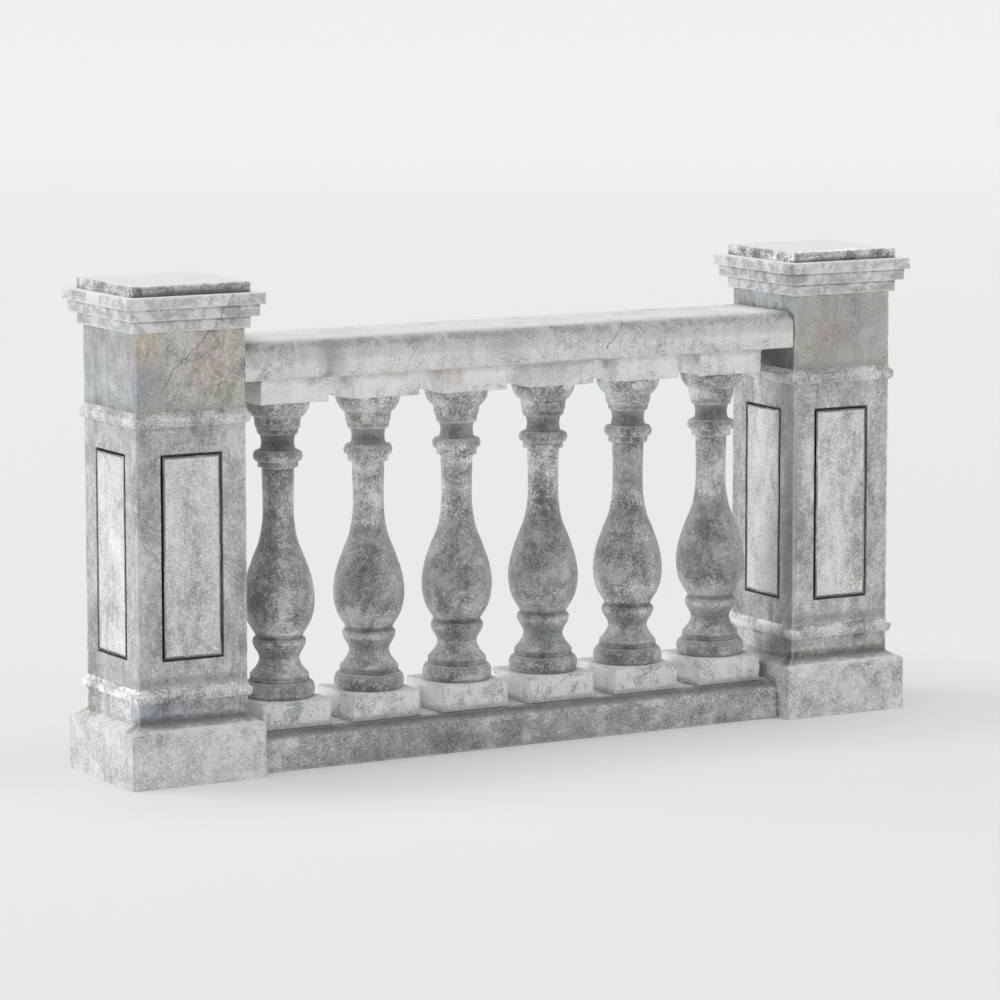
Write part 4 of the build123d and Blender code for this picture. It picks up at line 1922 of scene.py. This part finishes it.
class StoneFinishes:
    """Chooses the finish of each kind of stone, and places its discolouring, its painted light and shade,
    and its cracks on the bay.
    """

    EVERYWHERE = 9.0
    # Where the painted shade on the abaci's left faces, under the top rail, is set.
    ABACUS_SHADE_Y = -0.060
    ABACUS_SHADE_SHIFT = Vector((-0.007, 0.0, -0.008))
    ABACUS_SHADE_EXTENT = (0.014, 0.080, 0.052)

    def __init__(self) -> None:
        """Builds the shared groups and reads the places that discolouring and painted light are set by."""
        self.groups = StoneGroups()
        low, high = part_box("right_pier_neck")
        self.axis = (low.x + high.x) / 2
        self.front, self.inner = low.y, low.x
        # Painted light: every stone of the right pier is made a little paler, to make up for the side light
        # that fades along the bay.
        self.right_pier_painted_light = StainOrPaintedLight((self.axis, 0.0, 0.4), (0.36, 0.50, 1.1), grey(1.06), 1.0)

    def all(self) -> dict[Kind, StoneFinish]:
        """Chooses all the finishes.

        Returns:
            The finishes by kind.
        """
        piers = (self.shaft(), self.base(), self.panel(), self.neck(), self.cornice(), self.cap())
        others = (self.plinth(), self.top_rail(), self.bottom_rail(), self.baluster())
        return {finish.kind: finish for finish in (*piers, *others)}

    def level(self, height: float, reach: float, tint: Colour, strength: float = StainOrPaintedLight.strength) -> StainOrPaintedLight:
        """A patch that runs all round the bay at one level, for discolouring and for painted light and
        shade.
        """
        return StainOrPaintedLight((0.0, 0.0, height), (self.EVERYWHERE, self.EVERYWHERE, reach), tint, strength)

    def along(
        self, y: float, height: float, reach: Point, tint: Colour, strength: float = StainOrPaintedLight.strength
    ) -> StainOrPaintedLight:
        """A patch that runs along the bay, with its reach across and up, for discolouring and for painted
        light and shade.
        """
        return StainOrPaintedLight((0.0, y, height), (self.EVERYWHERE, *reach), tint, strength)

    @staticmethod
    def baluster_axis(number: int) -> float:
        """Where a baluster stands along the bay."""
        low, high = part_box(f"baluster_{number}")
        return (low.x + high.x) / 2

    def neck_cracks(self) -> tuple[Crack, ...]:
        """Places the crack that runs down the left pier, over its cornice and its neck.

        Returns:
            The crack's stretches, from the top down.
        """
        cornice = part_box("left_pier_cornice")[0].y
        stops = ((-0.768, cornice, 1.079), (-0.800, self.front, 0.999), (-0.898, self.front, 0.906))
        stops += ((-0.915, self.front, 0.876),)
        return tuple(Crack(*pair) for pair in zip(stops, stops[1:]))

    def abacus_painted_shade(self) -> tuple[StainOrPaintedLight, ...]:
        """Places painted shade, dark and tinted green and brown, on the left faces of the abaci, close under
        the top rail.

        Returns:
            The patches of painted shade, from the left.
        """
        left = ((0.30, 0.36, 0.35), (0.40, 0.40, 0.39), (0.52, 0.43, 0.38))
        right = ((0.42, 0.45, 0.42), grey(0.34), grey(0.40))
        stains_and_painted_light = []
        for number, tint in enumerate((*left, *right), start=1):
            low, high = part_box(f"baluster_{number}")
            place = Vector((low.x, self.ABACUS_SHADE_Y, high.z)) + self.ABACUS_SHADE_SHIFT
            stains_and_painted_light.append(StainOrPaintedLight(tuple(place), self.ABACUS_SHADE_EXTENT, tint, 1.0))
        return tuple(stains_and_painted_light)

    def baluster_painted_light_and_dirt_bands(self) -> tuple[StainOrPaintedLight, ...]:
        """Chooses the levels at which every baluster is made paler or darker: painted shade and grime in its
        hollows and under the top rail, painted light on its crests and on the abaci, and tone that differs
        along the vase.

        Returns:
            The bands, from the foot up.
        """
        zones = (
            # Darker bands are painted shade and grime in the hollows; paler ones are painted light on the
            # crests.
            (0.080, 0.024, grey(0.58)),
            (0.128, 0.040, grey(1.14)),
            (0.189, 0.013, grey(0.56)),
            (0.235, 0.024, grey(1.10)),
            (0.268, 0.016, grey(1.30)),
            (0.285, 0.011, grey(0.56)),
            (0.310, 0.040, grey(1.22)),
            (0.440, 0.090, grey(0.88)),
            (0.610, 0.110, grey(1.38)),
            (0.692, 0.026, grey(1.04)),
            (0.725, 0.022, (0.60, 0.585, 0.575)),
            (0.790, 0.040, grey(1.38)),
            # Painted light on the abaci against the shade of the top rail, and painted shade on their heads
            # close under it.
            (0.855, 0.055, grey(1.17)),
            (0.885, 0.027, grey(0.94)),
        )
        return tuple(self.level(*zone, 1.0) for zone in zones)

    def shaft(self) -> StoneFinish:
        """Grey stone of the dies and astragals, cloudy and drawn upright.

        Returns:
            The finish.
        """
        return StoneFinish(
            Kind.SHAFT, Slot.PIER, self.groups,
            dark=(0.33, 0.335, 0.34), body=grey(0.55), pale=grey(0.82),
            stretch=(1.0, 1.0, 0.55), cloud_share=0.36, patch_share=0.62,
            vein_share=0.35,
            worn=grey(0.84), wear_share=0.40,
            dirt_and_shade_share=0.5,
            streak=0.35,
            stains_and_painted_light=(
                self.right_pier_painted_light,
                StainOrPaintedLight((self.inner, -0.12, 0.50), (0.02, 0.035, 0.34), grey(0.66)),
                self.level(0.806, 0.016, grey(1.22)),
                self.along(-0.15, 0.230, (0.08, 0.014), grey(0.70)),
            ),
        )

    def base(self) -> StoneFinish:
        """Grey stone of the base courses, dark above the plinth with grime and painted shade under the
        moulding, and painted paler on its side faces.

        Returns:
            The finish.
        """
        return StoneFinish(
            Kind.BASE, Slot.PIER, self.groups,
            dark=(0.32, 0.325, 0.33), body=grey(0.57), pale=grey(0.80),
            # Painted light: the side faces of the base courses are made paler than the front.
            side=grey(1.24),
            patch_share=0.6,
            vein_share=0.3,
            worn=grey(0.84), wear_share=0.30,
            dirt_and_shade_share=0.35,
            streak=0.6,
            stains_and_painted_light=(
                # Grime and painted shade above the plinth, under the moulding's roll.
                self.along(-0.15, 0.136, (0.07, 0.026), (0.36, 0.36, 0.37), 1.0),
                StainOrPaintedLight((-0.96, -0.145, 0.166), (0.12, 0.06, 0.026), (0.78, 0.83, 0.92), 1.0),
                StainOrPaintedLight((0.86, -0.145, 0.160), (0.20, 0.06, 0.030), (1.06, 1.02, 0.97), 1.0),
                self.level(0.203, 0.026, grey(1.30)),
                StainOrPaintedLight((self.inner, -0.10, 0.160), (0.03, 0.11, 0.050), grey(0.66), 1.0),
                StainOrPaintedLight((-0.99, 0.0, 0.203), (0.03, 0.40, 0.028), grey(1.16), 1.0),
            ),
        )

    def panel(self) -> StoneFinish:
        """Pale honed stone of the panels, with dark joints painted nearly black: grime, and painted shade in
        the grooves round them.

        Returns:
            The finish.
        """
        return StoneFinish(
            Kind.PANEL, Slot.PANEL, self.groups,
            dark=(0.46, 0.47, 0.45), body=(0.77, 0.775, 0.76), pale=grey(0.94),
            # Painted light: the panels' side faces are made a little paler.
            side=grey(1.04),
            stretch=(1.0, 1.0, 0.55),
            pit_share=0.5,
            vein_share=0.4,
            # Painted shade and grime: the panels' arrises and sheltered edges are made nearly black, so the
            # grooves read dark.
            worn=grey(0.10), wear_share=0.85,
            dirt=grey(0.02), dirt_and_shade_share=1.0,
            stains_and_painted_light=(self.right_pier_painted_light,),
        )

    def neck(self) -> StoneFinish:
        """Warm grey stone of the necks, with brown blotches and a crack.

        Returns:
            The finish.
        """
        return StoneFinish(
            Kind.NECK, Slot.NECK, self.groups,
            dark=(0.40, 0.39, 0.38), body=(0.66, 0.635, 0.59), pale=(0.82, 0.80, 0.76),
            side=(0.76, 0.81, 0.88),
            patch_share=0.55,
            streak=0.35,
            cracks=self.neck_cracks(),
            stains_and_painted_light=(
                StainOrPaintedLight((-0.975, self.front, 0.985), (0.07, 0.03, 0.07), (1.07, 1.01, 0.87)),
                StainOrPaintedLight((-0.965, self.front, 0.885), (0.08, 0.03, 0.07), (0.70, 0.75, 0.82)),
                StainOrPaintedLight((-0.80, self.front, 0.93), (0.08, 0.05, 0.10), (1.03, 0.98, 0.965)),
                StainOrPaintedLight((0.82, self.front, 0.91), (0.06, 0.05, 0.06), (1.08, 0.94, 0.90)),
                self.level(0.818, 0.030, grey(0.78)),
                # Painted shade on the right pier's inner face, in the gap under the end of the top rail.
                StainOrPaintedLight((self.inner, -0.04, 0.850), (0.02, 0.16, 0.040), (0.40, 0.42, 0.44), 1.0),
                StainOrPaintedLight((self.axis, -0.14, 0.91), (0.20, 0.05, 0.14), (0.71, 0.735, 0.775), 1.0),
            ),
        )

    def cornice(self) -> StoneFinish:
        """Pale stone of the cornices, with broad grey veins.

        Returns:
            The finish.
        """
        return StoneFinish(
            Kind.CORNICE, Slot.CORNICE, self.groups,
            dark=grey(0.43), body=grey(0.87), pale=grey(0.96),
            # Painted shade: the cornices' side faces are made a little darker.
            side=grey(0.90),
            washed=0.9,
            patch_scale=9.0,
            speckle_share=0.25, fleck_share=0.3, pit_share=0.45,
            vein=grey(0.46), vein_share=0.65, vein_width=0.085,
            tint_share=0.08,
            worn=grey(0.92),
            dirt_and_shade_start=0.20, dirt_and_shade_share=0.45,
            cracks=self.neck_cracks(),
        )

    def cap(self) -> StoneFinish:
        """Pale washed stone of the caps, with dark weathered edges, whose side faces are painted paler than
        the front.

        Returns:
            The finish.
        """
        return StoneFinish(
            Kind.CAP, Slot.CORNICE, self.groups,
            dark=grey(0.22), body=grey(0.42), pale=grey(0.72),
            # Painted light: the caps' side faces are made much paler than the front.
            side=grey(1.48),
            clean=grey(0.93), washed=0.88,
            cloud_share=0.35, patch_scale=24.0, patch_share=0.95,
            speckle_scale=190.0, speckle_share=0.6, fleck_share=0.45,
            worn=grey(0.90), wear_share=0.45,
            dirt_and_shade_share=0.9,
            stains_and_painted_light=(
                StainOrPaintedLight((-self.axis, -0.150, 1.077), (0.24, 0.03, 0.017), grey(0.34), 1.0),
                StainOrPaintedLight((self.axis, -0.150, 1.077), (0.24, 0.03, 0.014), grey(0.46), 1.0),
                StainOrPaintedLight((self.axis, -0.150, 1.094), (0.30, 0.05, 0.018), grey(1.48), 1.0),
            ),
        )

    def plinth(self) -> StoneFinish:
        """Light grey stone of the plinths.

        Returns:
            The finish.
        """
        return StoneFinish(
            Kind.PLINTH, Slot.PLINTH, self.groups,
            dark=(0.48, 0.48, 0.47), body=(0.75, 0.75, 0.735), pale=grey(0.92),
            pit_share=0.45,
            vein_share=0.45,
            dirt_and_shade_share=0.5,
            streak=0.25,
            stains_and_painted_light=(
                self.along(-0.134, 0.146, (0.032, 0.034), grey(0.36), 1.0),
                # Painted shade on the right plinth's inner face, beside the end of the bottom rail.
                StainOrPaintedLight((0.705, -0.06, 0.146), (0.04, 0.14, 0.034), grey(0.50), 1.0),
                self.right_pier_painted_light,
            ),
        )

    def top_rail(self) -> StoneFinish:
        """Pale stone of the top rail, greyer on its nose.

        Returns:
            The finish.
        """
        return StoneFinish(
            Kind.TOP_RAIL, Slot.RAIL, self.groups,
            dark=(0.46, 0.46, 0.455), body=grey(0.90), pale=grey(0.96),
            # Painted shade: the rail's top is made darker than its front; the nose is greyer.
            top=grey(0.84), nose=grey(0.64),
            washed=0.5,
            cloud_share=0.3, patch_scale=14.0, patch_share=0.6,
            vein=grey(0.97), vein_share=0.5, vein_width=0.045,
            streak=0.3, streak_scale=42.0,
            stains_and_painted_light=(
                self.along(-0.125, 0.950, (0.06, 0.042), grey(0.78), 1.0),
                self.along(-0.130, 0.884, (0.03, 0.030), grey(0.96), 1.0),
                StainOrPaintedLight((0.12, -0.13, 0.872), (0.22, 0.03, 0.014), grey(0.45), 1.0),
                StainOrPaintedLight((-0.50, -0.13, 0.93), (0.05, 0.05, 0.06), grey(0.74), 1.0),
                StainOrPaintedLight((-0.06, -0.13, 0.92), (0.07, 0.05, 0.05), (0.80, 0.78, 0.77), 1.0),
            ),
            cracks=(Crack((0.257, -0.095, 0.963), (0.209, -0.130, 0.905), 0.0018, 0.5),),
        )

    def bottom_rail(self) -> StoneFinish:
        """Dark speckled stone of the bottom rail.

        Returns:
            The finish.
        """
        return StoneFinish(
            Kind.BOTTOM_RAIL, Slot.RAIL, self.groups,
            dark=(0.225, 0.23, 0.24), body=(0.39, 0.395, 0.405), pale=grey(0.66),
            washed=0.55,
            cloud_scale=8.0, cloud_share=0.36, patch_scale=14.0, patch_share=0.60,
            speckle_scale=210.0, speckle_share=0.7, fleck_share=0.5, pit_share=0.55,
            stains_and_painted_light=(
                StainOrPaintedLight((-0.55, -0.12, 0.04), (0.16, 0.10, 0.05), (1.20, 1.18, 1.17)),
                StainOrPaintedLight((-0.10, -0.12, 0.05), (0.20, 0.10, 0.06), (1.08, 1.08, 1.04)),
                StainOrPaintedLight((0.45, -0.12, 0.04), (0.20, 0.10, 0.06), (1.22, 1.22, 1.23)),
                StainOrPaintedLight((0.685, -0.12, 0.02), (0.08, 0.10, 0.10), (1.58, 1.58, 1.54)),
                self.along(-0.094, 0.086, (0.024, 0.030), grey(0.36)),
            ),
        )

    def baluster(self) -> StoneFinish:
        """Dark speckled stone of the balusters, with pale blocks and dusty vases, whose sheen paints pale
        edges like a rim light.

        Returns:
            The finish.
        """
        return StoneFinish(
            Kind.BALUSTER, Slot.BALUSTER, self.groups,
            dark=(0.20, 0.205, 0.21), body=(0.355, 0.36, 0.365), pale=grey(0.62),
            # Painted light: the blocks' side faces, and the abaci under the top rail, are made paler.
            block=grey(2.50), block_side_painted_light=grey(1.30), block_clean_with_painted_light=0.42,
            clean=grey(0.94),
            cloud_scale=9.0, cloud_share=0.44, patch_share=0.88,
            speckle_share=0.74, fleck_share=0.62, pit_share=0.66,
            vein=(0.72, 0.72, 0.71), vein_share=0.40, vein_width=0.022,
            tint_share=0.19,
            dirt_and_shade_start=0.18, dirt_and_shade_share=0.36,
            streak=0.42,
            # A film of dust as a sheen, which paints pale edges on the vases like a rim light.
            dust_and_sheen=1.0, dust_and_sheen_spread=0.5,
            stains_and_painted_light=(
                *self.baluster_painted_light_and_dirt_bands(),
                *self.abacus_painted_shade(),
                StainOrPaintedLight((0.095, -0.092, 0.862), (0.13, 0.012, 0.055), grey(0.60), 1.0),
                StainOrPaintedLight((-0.180, -0.092, 0.858), (0.06, 0.012, 0.050), (0.78, 0.70, 0.65), 1.0),
                StainOrPaintedLight((-0.69, -0.06, 0.182), (0.06, 0.06, 0.05), (0.80, 0.66, 0.66)),
                StainOrPaintedLight((self.baluster_axis(5), -0.04, 0.37), (0.10, 0.12, 0.14), grey(1.24)),
                StainOrPaintedLight((self.baluster_axis(5), 0.0, 0.600), (0.08, 0.08, 0.09), grey(0.74)),
                StainOrPaintedLight((self.baluster_axis(1), -0.03, 0.38), (0.12, 0.14, 0.17), grey(1.24)),
                StainOrPaintedLight((self.baluster_axis(4), -0.03, 0.235), (0.08, 0.08, 0.03), (0.68, 0.74, 0.81)),
                StainOrPaintedLight((self.baluster_axis(4), -0.06, 0.170), (0.10, 0.10, 0.03), grey(1.16)),
                StainOrPaintedLight((self.baluster_axis(4), 0.0, 0.620), (0.08, 0.08, 0.11), grey(1.14)),
                StainOrPaintedLight((-0.125, -0.034, 0.684), (0.028, 0.03, 0.018), grey(1.7), 1.0),
                StainOrPaintedLight((-0.098, -0.030, 0.655), (0.020, 0.03, 0.024), grey(1.8), 1.0),
            ),
        )


def main() -> None:
    """Builds the bay and its stage in order."""
    logging.basicConfig(level=logging.INFO, format="%(name)s: %(message)s")
    finishes = StoneFinishes().all()
    workshop = Workshop()
    for name in ("left", "right"):
        Pier(name, workshop, finishes).build()
    Rails(workshop, finishes).build()
    Balusters(workshop, finishes[Kind.BALUSTER]).build()
    workshop.close()
    Stage().build()
    bpy.context.scene.view_settings.view_transform = "Standard"


if __name__ == "__main__":
    main()
